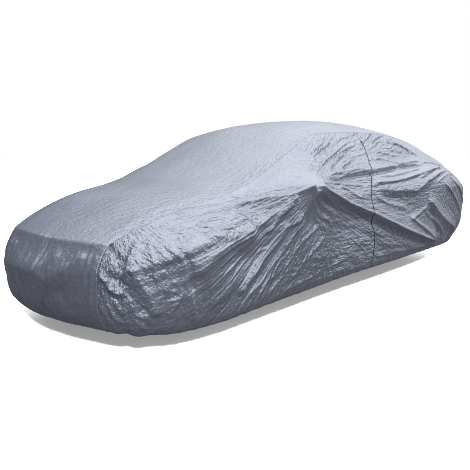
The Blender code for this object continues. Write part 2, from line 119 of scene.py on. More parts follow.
# folds of a side: name, height (mm), half width above and below the line (mm),
# how sharp its crest is, fade of each end, then points (along, up).
# A fold that points down the page of the cloth keeps "above" on its upper side.
FOLDS = [
    # the two long edges that leave the tent, and the lines beside them
    ("edge_rearward", 46, 150, 52, 0, 0.035, 0.06,
     ((1.550, 0.714), (1.690, 0.676), (1.837, 0.637), (2.110, 0.560), (2.395, 0.474), (2.700, 0.372), (3.020, 0.265), (3.400, 0.160), (3.816, 0.063))),
    ("edge_rearward_lip", 8, 16, 10, 0, 0.02, 0.10,
     ((1.550, 0.714), (1.690, 0.676), (1.837, 0.637), (2.110, 0.560), (2.395, 0.474), (2.700, 0.372), (3.020, 0.265), (3.400, 0.160), (3.816, 0.063))),
    ("edge_rearward_second", 6, 26, 14, 0, 0.05, 0.20,
     ((1.600, 0.742), (1.760, 0.705), (1.918, 0.664), (2.180, 0.590), (2.440, 0.515), (2.740, 0.415))),
    ("edge_forward", 36, 110, 40, 0, 0.06, 0.25,
     ((1.550, 0.714), (1.450, 0.696), (1.360, 0.686), (1.280, 0.688), (1.170, 0.703), (1.090, 0.715), (1.010, 0.738), (0.930, 0.748))),
    ("edge_forward_lip", 5, 14, 10, 0, 0.03, 0.20,
     ((1.550, 0.714), (1.450, 0.696), (1.360, 0.686), (1.280, 0.688), (1.170, 0.703), (1.090, 0.715), (1.010, 0.738))),
    ("forward_thin_1", -9, 12, 9, 0, 0.10, 0.25,
     ((1.500, 0.722), (1.410, 0.712), (1.320, 0.706), (1.210, 0.725), (1.130, 0.745), (1.030, 0.765))),
    ("forward_thin_2", -9, 14, 10, 0, 0.15, 0.25,
     ((1.440, 0.738), (1.330, 0.738), (1.200, 0.752), (1.080, 0.780), (0.950, 0.800))),
    ("forward_thin_3", -7, 14, 10, 0, 0.15, 0.25,
     ((1.480, 0.775), (1.320, 0.790), (1.160, 0.815), (1.000, 0.840))),
    ("forward_small_ridge", 13, 24, 18, 0, 0.10, 0.25,
     ((1.350, 0.676), (1.300, 0.662), (1.250, 0.648), (1.200, 0.646), (1.130, 0.640))),
    ("star_a", 17, 60, 28, 0, 0.08, 0.20,
     ((1.340, 0.660), (1.285, 0.618), (1.205, 0.598), (1.125, 0.566), (1.080, 0.550), (1.010, 0.526), (0.950, 0.500))),
    ("star_b", 19, 40, 30, 0, 0.08, 0.15,
     ((1.400, 0.672), (1.340, 0.636), (1.290, 0.602), (1.245, 0.572), (1.200, 0.536), (1.165, 0.500), (1.145, 0.470))),
    ("star_spine", 20, 100, 70, 0, 0.03, 0.25,
     ((1.540, 0.704), (1.512, 0.640), (1.472, 0.572), (1.420, 0.514), (1.330, 0.494))),
    ("star_c", 22, 44, 34, 0, 0.08, 0.08,
     ((1.330, 0.520), (1.285, 0.484), (1.262, 0.440), (1.235, 0.412), (1.185, 0.374), (1.140, 0.340), (1.065, 0.280), (1.020, 0.252), (0.950, 0.202), (0.900, 0.145))),
    ("star_c_upper", 10, 30, 22, 0, 0.12, 0.25,
     ((1.440, 0.560), (1.400, 0.520), (1.350, 0.500), (1.300, 0.490))),
    ("star_d", 12, 26, 20, 0, 0.08, 0.10,
     ((1.490, 0.520), (1.440, 0.478), (1.405, 0.452), (1.370, 0.418), (1.310, 0.352), (1.240, 0.302), (1.190, 0.256), (1.130, 0.200), (1.040, 0.148), (0.985, 0.112))),
    ("star_e", 10, 24, 20, 0, 0.12, 0.15,
     ((1.690, 0.440), (1.600, 0.406), (1.520, 0.384), (1.450, 0.358), (1.395, 0.302), (1.350, 0.256), (1.315, 0.215), (1.275, 0.165))),
    ("star_f", 9, 22, 20, 0, 0.15, 0.15,
     ((1.270, 0.240), (1.230, 0.202), (1.180, 0.176), (1.130, 0.138), (1.085, 0.085))),
    ("star_g", 8, 20, 18, 0, 0.15, 0.15,
     ((1.380, 0.225), (1.300, 0.158), (1.220, 0.105), (1.160, 0.055))),
    ("star_h", 7, 22, 18, 0, 0.20, 0.20,
     ((1.760, 0.350), (1.660, 0.300), (1.560, 0.240), (1.460, 0.170), (1.370, 0.105))),
    ("star_i", 6, 22, 18, 0, 0.20, 0.20,
     ((1.620, 0.480), (1.560, 0.440), (1.500, 0.420), (1.430, 0.395))),
    ("star_small_1", 6, 14, 12, 0, 0.20, 0.20,
     ((1.065, 0.372), (1.110, 0.386), (1.165, 0.392))),
    ("star_small_2", 7, 26, 16, 0, 0.15, 0.20,
     ((1.110, 0.592), (1.020, 0.604), (0.920, 0.590))),
    ("star_small_3", 6, 20, 14, 0, 0.15, 0.20,
     ((1.210, 0.340), (1.150, 0.300), (1.090, 0.250), (1.030, 0.215))),
    ("right_of_tip_1", 10, 24, 20, 0, 0.05, 0.25,
     ((1.575, 0.690), (1.670, 0.648), (1.770, 0.612), (1.900, 0.560), (2.060, 0.510))),
    ("right_of_tip_2", 8, 24, 20, 0, 0.08, 0.25,
     ((1.585, 0.655), (1.650, 0.600), (1.750, 0.556), (1.880, 0.512), (2.020, 0.470))),
    ("right_of_tip_3", 8, 22, 20, 0, 0.10, 0.25,
     ((1.590, 0.610), (1.630, 0.550), (1.710, 0.500), (1.790, 0.470), (1.900, 0.432))),
    ("right_of_tip_4", 6, 22, 18, 0, 0.15, 0.25,
     ((1.600, 0.560), (1.640, 0.500), (1.720, 0.440), (1.840, 0.390))),
    ("hem_streak_1", 7, 18, 14, 0, 0.20, 0.20,
     ((1.560, 0.078), (1.500, 0.072), (1.410, 0.070), (1.300, 0.060))),
    ("hem_streak_2", 6, 18, 14, 0, 0.20, 0.20,
     ((1.780, 0.112), (1.690, 0.096), (1.590, 0.088), (1.450, 0.080))),
    ("hem_streak_3", 6, 20, 14, 0, 0.20, 0.20,
     ((1.980, 0.205), (1.900, 0.200), (1.760, 0.208), (1.590, 0.230))),
    ("hem_streak_4", 6, 20, 16, 0, 0.20, 0.20,
     ((2.160, 0.150), (2.020, 0.140), (1.880, 0.130), (1.720, 0.150))),
    ("hem_streak_5", 6, 20, 16, 0, 0.20, 0.20,
     ((2.120, 0.080), (2.000, 0.070), (1.860, 0.055), (1.700, 0.046))),
    # the front shoulder
    ("front_shoulder", 31, 150, 80, 1.1, 0.22, 0.15,
     ((0.500, 0.320), (0.560, 0.352), (0.625, 0.395), (0.692, 0.440), (0.765, 0.467), (0.820, 0.490), (0.880, 0.497), (0.950, 0.502), (1.020, 0.518), (1.080, 0.550))),
    ("front_crest", 13, 20, 44, 0, 0.08, 0.10,
     ((0.400, 0.585), (0.437, 0.513), (0.478, 0.454), (0.500, 0.388), (0.510, 0.324), (0.530, 0.249), (0.560, 0.151), (0.590, 0.040))),
    ("front_crest_side", -13, 24, 10, 0, 0.12, 0.20,
     ((0.455, 0.535), (0.486, 0.490), (0.512, 0.452), (0.535, 0.388), (0.545, 0.300), (0.560, 0.220))),
    ("front_line_1", -7, 14, 10, 0, 0.15, 0.20,
     ((0.488, 0.710), (0.516, 0.655), (0.510, 0.585), (0.490, 0.505))),
    ("front_line_2", -7, 14, 10, 0, 0.15, 0.20,
     ((0.515, 0.680), (0.540, 0.625), (0.532, 0.540), (0.525, 0.473))),
    ("front_streak_1", 9, 30, 30, 1.0, 0.2, 0.2,
     ((0.640, 0.390), (0.620, 0.300), (0.605, 0.200), (0.610, 0.080))),
    ("front_streak_2", 8, 34, 30, 1.0, 0.2, 0.2,
     ((0.700, 0.430), (0.685, 0.340), (0.680, 0.230), (0.690, 0.100))),
    ("front_streak_3", 8, 30, 30, 1.0, 0.2, 0.2,
     ((0.790, 0.440), (0.765, 0.340), (0.760, 0.240), (0.750, 0.120))),
    ("front_streak_4", 8, 26, 26, 1.0, 0.2, 0.2,
     ((0.880, 0.420), (0.850, 0.330), (0.830, 0.240), (0.810, 0.140))),
    ("shoulder_crease_1", 10, 30, 20, 0, 0.15, 0.2,
     ((0.860, 0.590), (0.930, 0.615), (1.010, 0.622), (1.100, 0.625))),
    ("shoulder_crease_2", -6, 26, 26, 0, 0.2, 0.2,
     ((0.720, 0.690), (0.800, 0.660), (0.880, 0.648), (0.960, 0.652))),
    ("shoulder_crease_3", 7, 26, 20, 0, 0.2, 0.2,
     ((0.660, 0.640), (0.740, 0.600), (0.820, 0.585), (0.900, 0.560))),
    ("shoulder_crease_4", 6, 24, 18, 0, 0.2, 0.2,
     ((0.640, 0.570), (0.720, 0.545), (0.800, 0.530))),
    # nose corner: planes of stiff film between straight creases
    ("foil_left", 20, 18, 20, 0, 0.04, 0.10,
     ((0.004, 0.560), (0.012, 0.490), (0.018, 0.410), (0.014, 0.330))),
    ("foil_valley", -17, 24, 16, 0, 0.05, 0.10,
     ((0.020, 0.540), (0.109, 0.475), (0.153, 0.440), (0.146, 0.390), (0.138, 0.334), (0.150, 0.285))),
    ("foil_ridge", 21, 22, 26, 0, 0.05, 0.12,
     ((0.284, 0.590), (0.204, 0.474), (0.178, 0.423), (0.166, 0.379), (0.165, 0.300))),
    ("foil_patch_low", 24, 40, 22, 0, 0.05, 0.10,
     ((0.020, 0.350), (0.044, 0.330), (0.073, 0.286), (0.117, 0.257), (0.165, 0.268))),
    ("foil_patch_top", -10, 20, 16, 0, 0.10, 0.10,
     ((0.030, 0.352), (0.109, 0.337), (0.153, 0.292))),
    ("foil_middle", 11, 30, 24, 0, 0.10, 0.15,
     ((0.060, 0.500), (0.075, 0.430), (0.070, 0.370))),
    ("plane_edge", 19, 50, 60, 0, 0.04, 0.10,
     ((0.186, 0.410), (0.241, 0.330), (0.292, 0.249), (0.343, 0.115))),
    ("plane_left", -10, 26, 26, 0, 0.08, 0.12,
     ((0.188, 0.398), (0.170, 0.334), (0.170, 0.261), (0.241, 0.197), (0.313, 0.146))),
    ("plane_line_1", 7, 20, 20, 0, 0.12, 0.20,
     ((0.343, 0.602), (0.335, 0.530), (0.323, 0.446), (0.328, 0.384), (0.343, 0.319))),
    ("plane_line_2", 8, 26, 20, 0, 0.12, 0.15,
     ((0.357, 0.604), (0.375, 0.530), (0.390, 0.472), (0.418, 0.425))),
    ("plane_line_3", 6, 20, 18, 0, 0.12, 0.20,
     ((0.420, 0.640), (0.445, 0.580), (0.462, 0.520), (0.470, 0.470))),
    ("plane_line_4", 7, 20, 20, 0, 0.15, 0.20,
     ((0.328, 0.384), (0.343, 0.319), (0.357, 0.257), (0.350, 0.180))),
    ("fan_1", 6, 24, 20, 0, 0.08, 0.20,
     ((0.492, 0.236), (0.448, 0.186), (0.415, 0.099))),
    ("fan_2", 5, 14, 12, 0, 0.08, 0.25,
     ((0.490, 0.230), (0.445, 0.262), (0.372, 0.276))),
    ("fan_3", 5, 12, 12, 0, 0.08, 0.25,
     ((0.488, 0.226), (0.452, 0.219), (0.394, 0.211))),
    ("fan_4", 5, 12, 12, 0, 0.10, 0.25,
     ((0.490, 0.240), (0.458, 0.300), (0.405, 0.345))),
    ("swirl_1", 8, 24, 20, 0, 0.10, 0.15,
     ((0.036, 0.267), (0.050, 0.205), (0.075, 0.140), (0.109, 0.097), (0.153, 0.076))),
    ("swirl_2", 7, 20, 18, 0, 0.12, 0.15,
     ((0.080, 0.229), (0.117, 0.172), (0.158, 0.130))),
    ("swirl_3", 7, 22, 20, 0, 0.12, 0.15,
     ((0.160, 0.230), (0.205, 0.214), (0.255, 0.195), (0.320, 0.155))),
    ("swirl_4", 6, 22, 20, 0, 0.15, 0.20,
     ((0.190, 0.150), (0.235, 0.125), (0.290, 0.110), (0.340, 0.070))),
    ("swirl_5", 6, 20, 18, 0, 0.15, 0.20,
     ((0.010, 0.180), (0.035, 0.115), (0.080, 0.050))),
    ("swirl_6", 5, 18, 18, 0, 0.15, 0.20,
     ((0.200, 0.100), (0.250, 0.075), (0.310, 0.040))),
    # rear side, above the long edge
    ("rear_trough", -23, 22, 20, 0, 0.08, 0.15,
     ((1.720, 0.745), (1.971, 0.748), (2.160, 0.768), (2.318, 0.781), (2.525, 0.797), (2.809, 0.812), (3.195, 0.822), (3.626, 0.820))),
    ("rear_trough_ridge", 16, 40, 24, 0, 0.12, 0.20,
     ((1.780, 0.785), (2.140, 0.822), (2.460, 0.835), (2.790, 0.850), (3.150, 0.860))),
    ("small_dark_1", 14, 23, 10, 0, 0.10, 0.25,
     ((1.700, 0.735), (1.918, 0.718), (2.150, 0.702), (2.383, 0.692))),
    ("small_dark_2", 14, 18, 10, 0, 0.12, 0.20,
     ((1.918, 0.700), (2.042, 0.676), (2.147, 0.636), (2.300, 0.585))),
    ("rear_line_2", 24, 38, 15, 0, 0.10, 0.15,
     ((2.474, 0.716), (2.640, 0.703), (2.811, 0.698), (3.158, 0.714), (3.553, 0.756), (3.889, 0.802))),
    ("rear_line_3", 11, 18, 12, 0, 0.2, 0.2,
     ((2.550, 0.760), (2.900, 0.757), (3.200, 0.772), (3.550, 0.800))),
    ("belt_edge", 22, 90, 44, 0, 0.10, 0.20,
     ((2.531, 0.660), (2.782, 0.622), (3.092, 0.603), (3.238, 0.594), (3.406, 0.640), (3.684, 0.718), (4.100, 0.790))),
    ("belt_line_2", 11, 40, 24, 0, 0.15, 0.20,
     ((2.473, 0.618), (2.646, 0.540), (2.869, 0.486), (3.100, 0.440))),
    ("rear_fan_1", 16, 21, 15, 0, 0.12, 0.15,
     ((3.300, 0.690), (3.520, 0.730), (3.786, 0.780), (4.156, 0.840))),
    ("rear_fan_2", 15, 18, 14, 0, 0.15, 0.15,
     ((3.472, 0.653), (3.640, 0.690), (3.786, 0.722), (4.256, 0.806))),
    ("rear_fan_3", 11, 16, 14, 0, 0.2, 0.2,
     ((3.550, 0.860), (3.800, 0.872), (4.100, 0.880), (4.350, 0.860))),
    ("rear_fan_4", 11, 15, 12, 0, 0.15, 0.2,
     ((3.700, 0.640), (3.900, 0.690), (4.150, 0.740), (4.400, 0.760))),
    ("uprear_hollow_1", 12, 18, 14, 0, 0.10, 0.15,
     ((2.610, 0.966), (2.832, 0.926), (3.057, 0.872), (3.230, 0.868), (3.414, 0.874), (3.640, 0.890))),
    ("uprear_crease_1", -14, 14, 12, 0, 0.10, 0.12,
     ((2.980, 1.100), (3.114, 1.084), (3.370, 1.019), (3.589, 0.930))),
    ("uprear_crease_2", 12, 13, 11, 0, 0.12, 0.12,
     ((3.140, 1.110), (3.320, 1.060), (3.500, 1.000), (3.660, 0.930))),
    ("uprear_crease_3", -8, 13, 11, 0, 0.12, 0.15,
     ((2.930, 1.034), (3.180, 0.974), (3.400, 0.950), (3.538, 0.944))),
    ("uprear_crease_4", 10, 13, 11, 0, 0.15, 0.15,
     ((2.700, 1.030), (2.860, 0.995), (3.020, 0.965), (3.180, 0.940))),
    ("uprear_crease_5", -8, 13, 11, 0, 0.15, 0.15,
     ((2.620, 0.890), (2.800, 0.880), (3.020, 0.850))),
    ("roof_diagonal_1", -14, 12, 10, 0, 0.15, 0.15,
     ((2.500, 1.110), (2.583, 1.149), (2.680, 1.190), (2.771, 1.224))),
    ("roof_diagonal_2", -14, 12, 10, 0, 0.15, 0.15,
     ((2.640, 1.100), (2.750, 1.135), (2.900, 1.165), (3.078, 1.187))),
    ("roof_diagonal_3", 10, 12, 10, 0, 0.15, 0.15,
     ((2.560, 1.060), (2.720, 1.110), (2.920, 1.130))),
    ("roof_diagonal_4", -10, 10, 10, 0, 0.15, 0.15,
     ((3.100, 1.106), (3.200, 1.130), (3.326, 1.159))),
    # between the tent and the zip
    ("up_right_1", -17, 12, 10, 0, 0.10, 0.05,
     ((1.900, 0.820), (2.020, 0.868), (2.145, 0.931), (2.240, 0.985), (2.333, 1.039), (2.440, 1.125))),
    ("up_right_2", 14, 15, 13, 0, 0.12, 0.10,
     ((1.680, 0.835), (1.840, 0.890), (2.000, 0.950), (2.180, 1.030), (2.340, 1.120))),
    ("up_right_3", -12, 13, 10, 0, 0.15, 0.15,
     ((1.680, 0.865), (1.800, 0.920), (1.940, 0.980), (2.080, 1.050))),
    ("up_right_4", 10, 12, 10, 0, 0.15, 0.15,
     ((1.660, 0.815), (1.760, 0.850), (1.880, 0.900), (2.000, 0.955))),
    ("dark_patch", -17, 14, 13, 0, 0.10, 0.10,
     ((1.840, 0.955), (1.920, 0.995), (2.030, 1.040), (2.130, 1.090))),
    ("dark_patch_lip", 14, 13, 10, 0, 0.15, 0.15,
     ((1.820, 1.000), (1.920, 1.050), (2.040, 1.100))),
    ("short_1", -12, 13, 10, 0, 0.15, 0.15,
     ((2.100, 0.830), (2.200, 0.870), (2.350, 0.945))),
    ("short_2", -10, 12, 10, 0, 0.15, 0.15,
     ((2.050, 0.815), (2.160, 0.835), (2.300, 0.855))),
    ("short_3", 10, 12, 10, 0, 0.15, 0.15,
     ((1.860, 0.790), (2.020, 0.830), (2.180, 0.880), (2.380, 0.960))),
    # tail
    ("tail_ridge", 28, 80, 60, 0, 0.08, 0.06,
     ((3.500, 0.490), (3.582, 0.452), (3.700, 0.390), (3.830, 0.318), (3.980, 0.255), (4.144, 0.200), (4.260, 0.120))),
    ("tail_hollow", -14, 50, 60, 0, 0.12, 0.15,
     ((3.560, 0.430), (3.620, 0.330), (3.740, 0.220), (3.880, 0.120))),
    ("tail_ridge_2", -12, 36, 36, 0, 0.10, 0.15,
     ((4.140, 0.205), (4.100, 0.135), (4.050, 0.060))),
    ("tail_line_2", 12, 31, 22, 0, 0.15, 0.15,
     ((3.523, 0.440), (3.400, 0.400), (3.268, 0.366), (3.100, 0.345))),
    ("tail_line_3", 16, 31, 23, 0, 0.12, 0.15,
     ((3.078, 0.374), (3.240, 0.306), (3.392, 0.250), (3.560, 0.175), (3.728, 0.098))),
    ("tail_line_4", 12, 31, 23, 0, 0.2, 0.2,
     ((3.400, 0.400), (3.600, 0.320), (3.820, 0.220), (4.020, 0.100))),
    ("tail_line_5", 16, 29, 25, 0, 0.15, 0.2,
     ((3.900, 0.640), (4.050, 0.560), (4.250, 0.430), (4.400, 0.300))),
    ("tail_line_6", 14, 25, 22, 0, 0.15, 0.2,
     ((4.100, 0.740), (4.220, 0.640), (4.400, 0.520), (4.520, 0.380))),
    ("tail_line_7", 13, 25, 22, 0, 0.2, 0.2,
     ((4.300, 0.860), (4.420, 0.740), (4.560, 0.600), (4.660, 0.440))),
    ("tail_line_8", 12, 22, 22, 0, 0.2, 0.2,
     ((4.580, 0.860), (4.660, 0.700), (4.700, 0.520), (4.680, 0.330))),
    # rear side, under the long edge
    ("low_small_1", 8, 14, 12, 0, 0.15, 0.15,
     ((2.170, 0.268), (2.208, 0.264), (2.320, 0.256), (2.440, 0.245))),
    ("low_small_2", 8, 14, 12, 0, 0.15, 0.15,
     ((2.180, 0.240), (2.224, 0.238), (2.330, 0.226), (2.433, 0.210))),
    ("low_long_1", 7, 40, 26, 0, 0.2, 0.2,
     ((1.800, 0.500), (2.050, 0.420), (2.360, 0.330), (2.700, 0.240))),
    ("low_long_2", 9, 26, 20, 0, 0.15, 0.2,
     ((2.425, 0.440), (2.600, 0.385), (2.782, 0.320), (3.010, 0.250), (3.238, 0.184))),
    ("low_long_3", 6, 34, 26, 0, 0.2, 0.2,
     ((2.520, 0.190), (2.800, 0.160), (3.100, 0.110), (3.400, 0.050))),
    ("low_hem_line", 7, 22, 14, 0, 0.10, 0.10,
     ((2.436, 0.086), (2.640, 0.088), (2.866, 0.082), (3.120, 0.066), (3.370, 0.056), (3.721, 0.058))),
]


def other_side(fold):
    """The same fold as it falls on the right side: shifted a little, calmer at the nose."""
    name, mm, above, below, sharp, fade_a, fade_b, pts = fold
    k = 0.25 if name.startswith(("foil", "swirl", "plane", "fan")) else 0.85
    off = 0.020 * math.sin(3.7 * len(name) + mm)
    return (name, mm * k, above, below, sharp, fade_a, fade_b,
            tuple((x + off * math.sin(2.1 * x), y * (1 + 0.6 * off)) for x, y in pts))


RIGHT_FOLDS = [other_side(f) for f in FOLDS]

# the creases that spread from the tip of the tent: where it is, the way to the smooth
# side that has none, and the sectors that have them: middle (degrees), half width, share
RAYS = dict(along=1.550, up=0.716, cut=(-0.5, 0.866),
            sectors=((-138, 26, 0.85), (-100, 16, 0.7), (-62, 18, 0.55), (-25, 12, 0.8),
                     (0, 12, 0.8), (26, 16, 0.8), (176, 11, 0.85), (-165, 10, 0.5)))

# broad hollows and swells of a side: along, up, half width along, half width up, height (mm)
SIDE_SWELLS = [
    (1.62, 0.52, 0.17, 0.16, -40),
    (0.94, 0.38, 0.24, 0.080, -20),
    (0.62, 0.24, 0.12, 0.16, -10),
    (0.66, 0.40, 0.12, 0.10, 12),
    (3.00, 0.93, 0.50, 0.09, -14),
    (2.10, 0.40, 0.35, 0.12, -10),
    (3.60, 0.20, 0.40, 0.12, -10),
    (0.28, 0.22, 0.12, 0.14, -12),
    (4.45, 0.45, 0.22, 0.22, 8),
]

# the way the small creases run: along, up, angle from the foot line (degrees), reach
GUIDES = [
    (0.05, 0.40, 92, 0.14), (0.08, 0.10, 75, 0.14), (0.28, 0.38, 122, 0.12), (0.30, 0.12, 118, 0.12),
    (0.42, 0.52, 125, 0.12), (0.45, 0.25, 60, 0.12), (0.52, 0.45, 108, 0.12), (0.55, 0.15, 98, 0.12),
    (0.70, 0.30, 92, 0.15), (0.72, 0.12, 88, 0.15), (0.72, 0.62, 160, 0.16), (0.85, 0.45, 75, 0.12),
    (0.90, 0.20, 50, 0.14), (1.02, 0.62, 8, 0.16), (1.05, 0.35, 52, 0.14), (1.10, 0.10, 24, 0.14),
    (1.20, 0.75, 176, 0.16), (1.20, 0.50, 50, 0.13), (1.35, 0.60, 48, 0.13), (1.25, 0.22, 45, 0.16),
    (1.50, 0.45, 48, 0.16), (1.55, 0.25, 42, 0.16), (1.45, 0.06, 8, 0.14), (1.25, 0.85, 165, 0.16),
    (1.45, 0.82, 155, 0.14), (1.80, 0.55, 158, 0.15), (1.80, 0.35, 36, 0.2), (1.85, 0.10, 12, 0.2),
    (2.10, 0.40, 168, 0.2), (2.10, 0.15, 14, 0.2), (2.40, 0.20, 170, 0.2), (2.40, 0.62, 165, 0.2),
    (1.80, 0.76, 2, 0.12), (2.10, 0.72, 176, 0.12), (2.40, 0.76, 2, 0.15), (1.75, 0.88, 35, 0.15),
    (2.00, 0.98, 38, 0.2), (2.25, 0.92, 30, 0.2), (2.35, 1.12, 48, 0.15),
    (2.70, 0.45, 165, 0.2), (2.70, 0.20, 168, 0.2), (2.80, 0.68, 0, 0.2), (2.80, 0.90, 168, 0.2),
    (2.70, 1.15, 40, 0.15), (3.10, 1.02, 158, 0.2), (3.20, 0.80, 8, 0.2), (3.20, 0.55, 160, 0.2),
    (3.20, 0.25, 162, 0.2), (3.60, 0.60, 30, 0.2), (3.60, 0.85, 10, 0.2), (3.60, 0.35, 150, 0.2),
    (3.60, 0.10, 168, 0.2), (4.00, 0.80, 22, 0.2), (4.00, 0.55, 120, 0.2), (4.00, 0.25, 140, 0.2),
    (4.35, 0.70, 105, 0.2), (4.35, 0.40, 120, 0.2), (4.35, 0.10, 95, 0.2), (4.70, 0.60, 92, 0.2),
    (4.70, 0.20, 88, 0.2), (3.40, 1.12, 165, 0.2), (4.00, 1.00, 20, 0.2),
]

# places with more or fewer small creases: along, up, reach along, reach up, share
BUSY = [
    (0.12, 0.40, 0.22, 0.30, 1.0), (0.80, 0.62, 0.28, 0.12, 0.9), (1.20, 0.60, 0.22, 0.10, 0.5),
    (2.00, 1.00, 0.30, 0.14, 0.8), (3.10, 1.00, 0.45, 0.12, 0.9), (4.30, 0.55, 0.40, 0.35, 0.9),
    (1.50, 0.20, 0.50, 0.20, 0.5), (2.20, 0.15, 0.50, 0.16, 0.4),
    (1.50, 0.88, 0.22, 0.12, -0.9), (1.62, 0.58, 0.14, 0.12, -0.8), (1.60, 0.74, 0.12, 0.08, -0.9),
    (1.20, 0.50, 0.20, 0.20, -0.5), (0.28, 0.35, 0.14, 0.18, -0.5), (1.05, 0.28, 0.14, 0.12, -0.4),
    (0.75, 0.30, 0.16, 0.12, -0.4), (0.70, 0.43, 0.13, 0.09, -0.8), (2.75, 0.42, 0.30, 0.08, -0.3),
]

# the same for the centre panel, by (across, run)
TOP_GUIDES = [
    (0.0, 0.30, 90, 0.3), (0.0, 0.90, 45, 0.4), (0.4, 1.20, 48, 0.4), (-0.4, 1.20, 42, 0.4),
    (0.0, 1.80, 90, 0.4), (0.0, 2.60, 90, 0.5), (0.3, 3.20, 60, 0.4), (-0.3, 3.20, 120, 0.4),
    (0.0, 3.90, 20, 0.4), (0.3, 4.40, 40, 0.3), (-0.3, 4.40, 140, 0.3), (0.0, 5.00, 90, 0.4),
]
TOP_BUSY = [
    (0.62, 1.10, 0.13, 0.60, 0.9), (0.66, 2.00, 0.10, 0.80, 0.5),
    (0.0, 0.30, 0.8, 0.20, 0.30), (0.0, 3.90, 0.8, 0.60, 0.35), (0.0, 5.10, 0.8, 0.40, 0.4),
]

# folds of the centre panel, by (across, run): across from right to left, run from the
# front hem backwards
CENTRE_FOLDS = [
    ("front_top_edge", 5, 130, 80, 1.2, 0.02, 0.02,
     ((-0.50, 0.590), (-0.29, 0.580), (-0.01, 0.572), (0.24, 0.568), (0.42, 0.566), (0.54, 0.560))),
    ("front_low_edge", 24, 50, 140, 1.1, 0.22, 0.10,
     ((-0.54, 0.335), (-0.35, 0.340), (-0.08, 0.348), (0.08, 0.340), (0.19, 0.310), (0.235, 0.270))),
    ("nose_crease", 12, 40, 26, 1.0, 0.10, 0.15,
     ((0.18, 0.318), (0.29, 0.370), (0.38, 0.440), (0.425, 0.505))),
    ("nose_crease_2", 9, 36, 24, 1.0, 0.10, 0.20,
     ((0.03, 0.335), (0.13, 0.400), (0.19, 0.445), (0.23, 0.500))),
    ("nose_upright_1", 8, 24, 24, 1.0, 0.15, 0.2,
     ((0.505, 0.520), (0.520, 0.420), (0.505, 0.300), (0.480, 0.130))),
    ("nose_upright_2", 6, 22, 22, 1.0, 0.15, 0.2,
     ((0.455, 0.530), (0.462, 0.420), (0.450, 0.300), (0.420, 0.140))),
    ("nose_upright_3", 11, 22, 22, 1.0, 0.15, 0.2,
     ((-0.42, 0.520), (-0.44, 0.430), (-0.46, 0.340), (-0.47, 0.200))),
    ("nose_upright_4", 10, 22, 22, 1.0, 0.15, 0.2,
     ((-0.33, 0.500), (-0.37, 0.430), (-0.40, 0.350))),
    ("nose_side_hollow", -10, 80, 80, 1.3, 0.1, 0.2,
     ((0.25, 0.280), (0.30, 0.200), (0.33, 0.100))),
    ("front_line_left", 5, 60, 40, 1.2, 0.15, 0.2,
     ((0.46, 0.660), (0.50, 0.760), (0.53, 0.960), (0.56, 1.200), (0.60, 1.500))),
    ("front_line_right", 5, 60, 40, 1.2, 0.15, 0.2,
     ((-0.44, 0.680), (-0.48, 0.900), (-0.52, 1.200), (-0.54, 1.500))),
]

# gathers along the elastic hem: centre along, half length, how far out (mm)
GATHERS = [
    (0.08, 0.045, 9), (0.16, 0.040, -7), (0.24, 0.045, 11), (0.33, 0.045, -5),
    (4.30, 0.060, 6), (4.42, 0.050, -7), (4.54, 0.055, 8), (4.68, 0.050, -6),
]
GATHER_RISE = 0.10
HEM_CURL = 0.020           # how far the elastic draws the last of the cloth in
HEM_DROP = 0.014           # how far the loose edge hangs under the drawn-in one
BOLD = 1.25                # rounded folds, against their table
CREASED = 1.05             # folds of two planes, against their table

# where the top sinks a little: x, y, radius x, radius y, depth (mm)
TOP_SINKS = [
    (0.00, -1.02, 0.62, 0.22, -10),
    (0.00, 1.55, 0.50, 0.45, -8),
    (0.42, 0.75, 0.16, 0.50, -5),
    (-0.42, 0.75, 0.16, 0.50, -5),
]


# ------------------------------------------------------------------ curves
def smooth(xs, ys, x):
    """Smooth curve through the points of a table, read at x."""
    xs, ys = np.asarray(xs, float), np.asarray(ys, float)
    x = np.clip(np.asarray(x, float), xs[0], xs[-1])
    h = np.diff(xs)
    d = np.diff(ys) / h
    m = np.zeros_like(ys)
    m[0], m[-1] = d[0], d[-1]
    for i in range(1, len(xs) - 1):
        m[i] = (d[i - 1] * h[i] + d[i] * h[i - 1]) / (h[i - 1] + h[i])
    i = np.clip(np.searchsorted(xs, x, side="right") - 1, 0, len(xs) - 2)
    t = (x - xs[i]) / h[i]
    return ((1 + 2 * t) * (1 - t) ** 2 * ys[i] + t * (1 - t) ** 2 * h[i] * m[i]
            + t * t * (3 - 2 * t) * ys[i + 1] + t * t * (t - 1) * h[i] * m[i + 1])


TOP_COL = np.array(TOP).T


def top_z(y):
    return smooth(TOP_COL[0], TOP_COL[1], y)


def seam_x(y):
    return smooth(TOP_COL[0], TOP_COL[2], y)


def seam_drop(y):
    return smooth(TOP_COL[0], TOP_COL[3], y)


def top_height(y, share):
    return top_z(y) - seam_drop(y) * np.abs(share) ** DISH_POWER


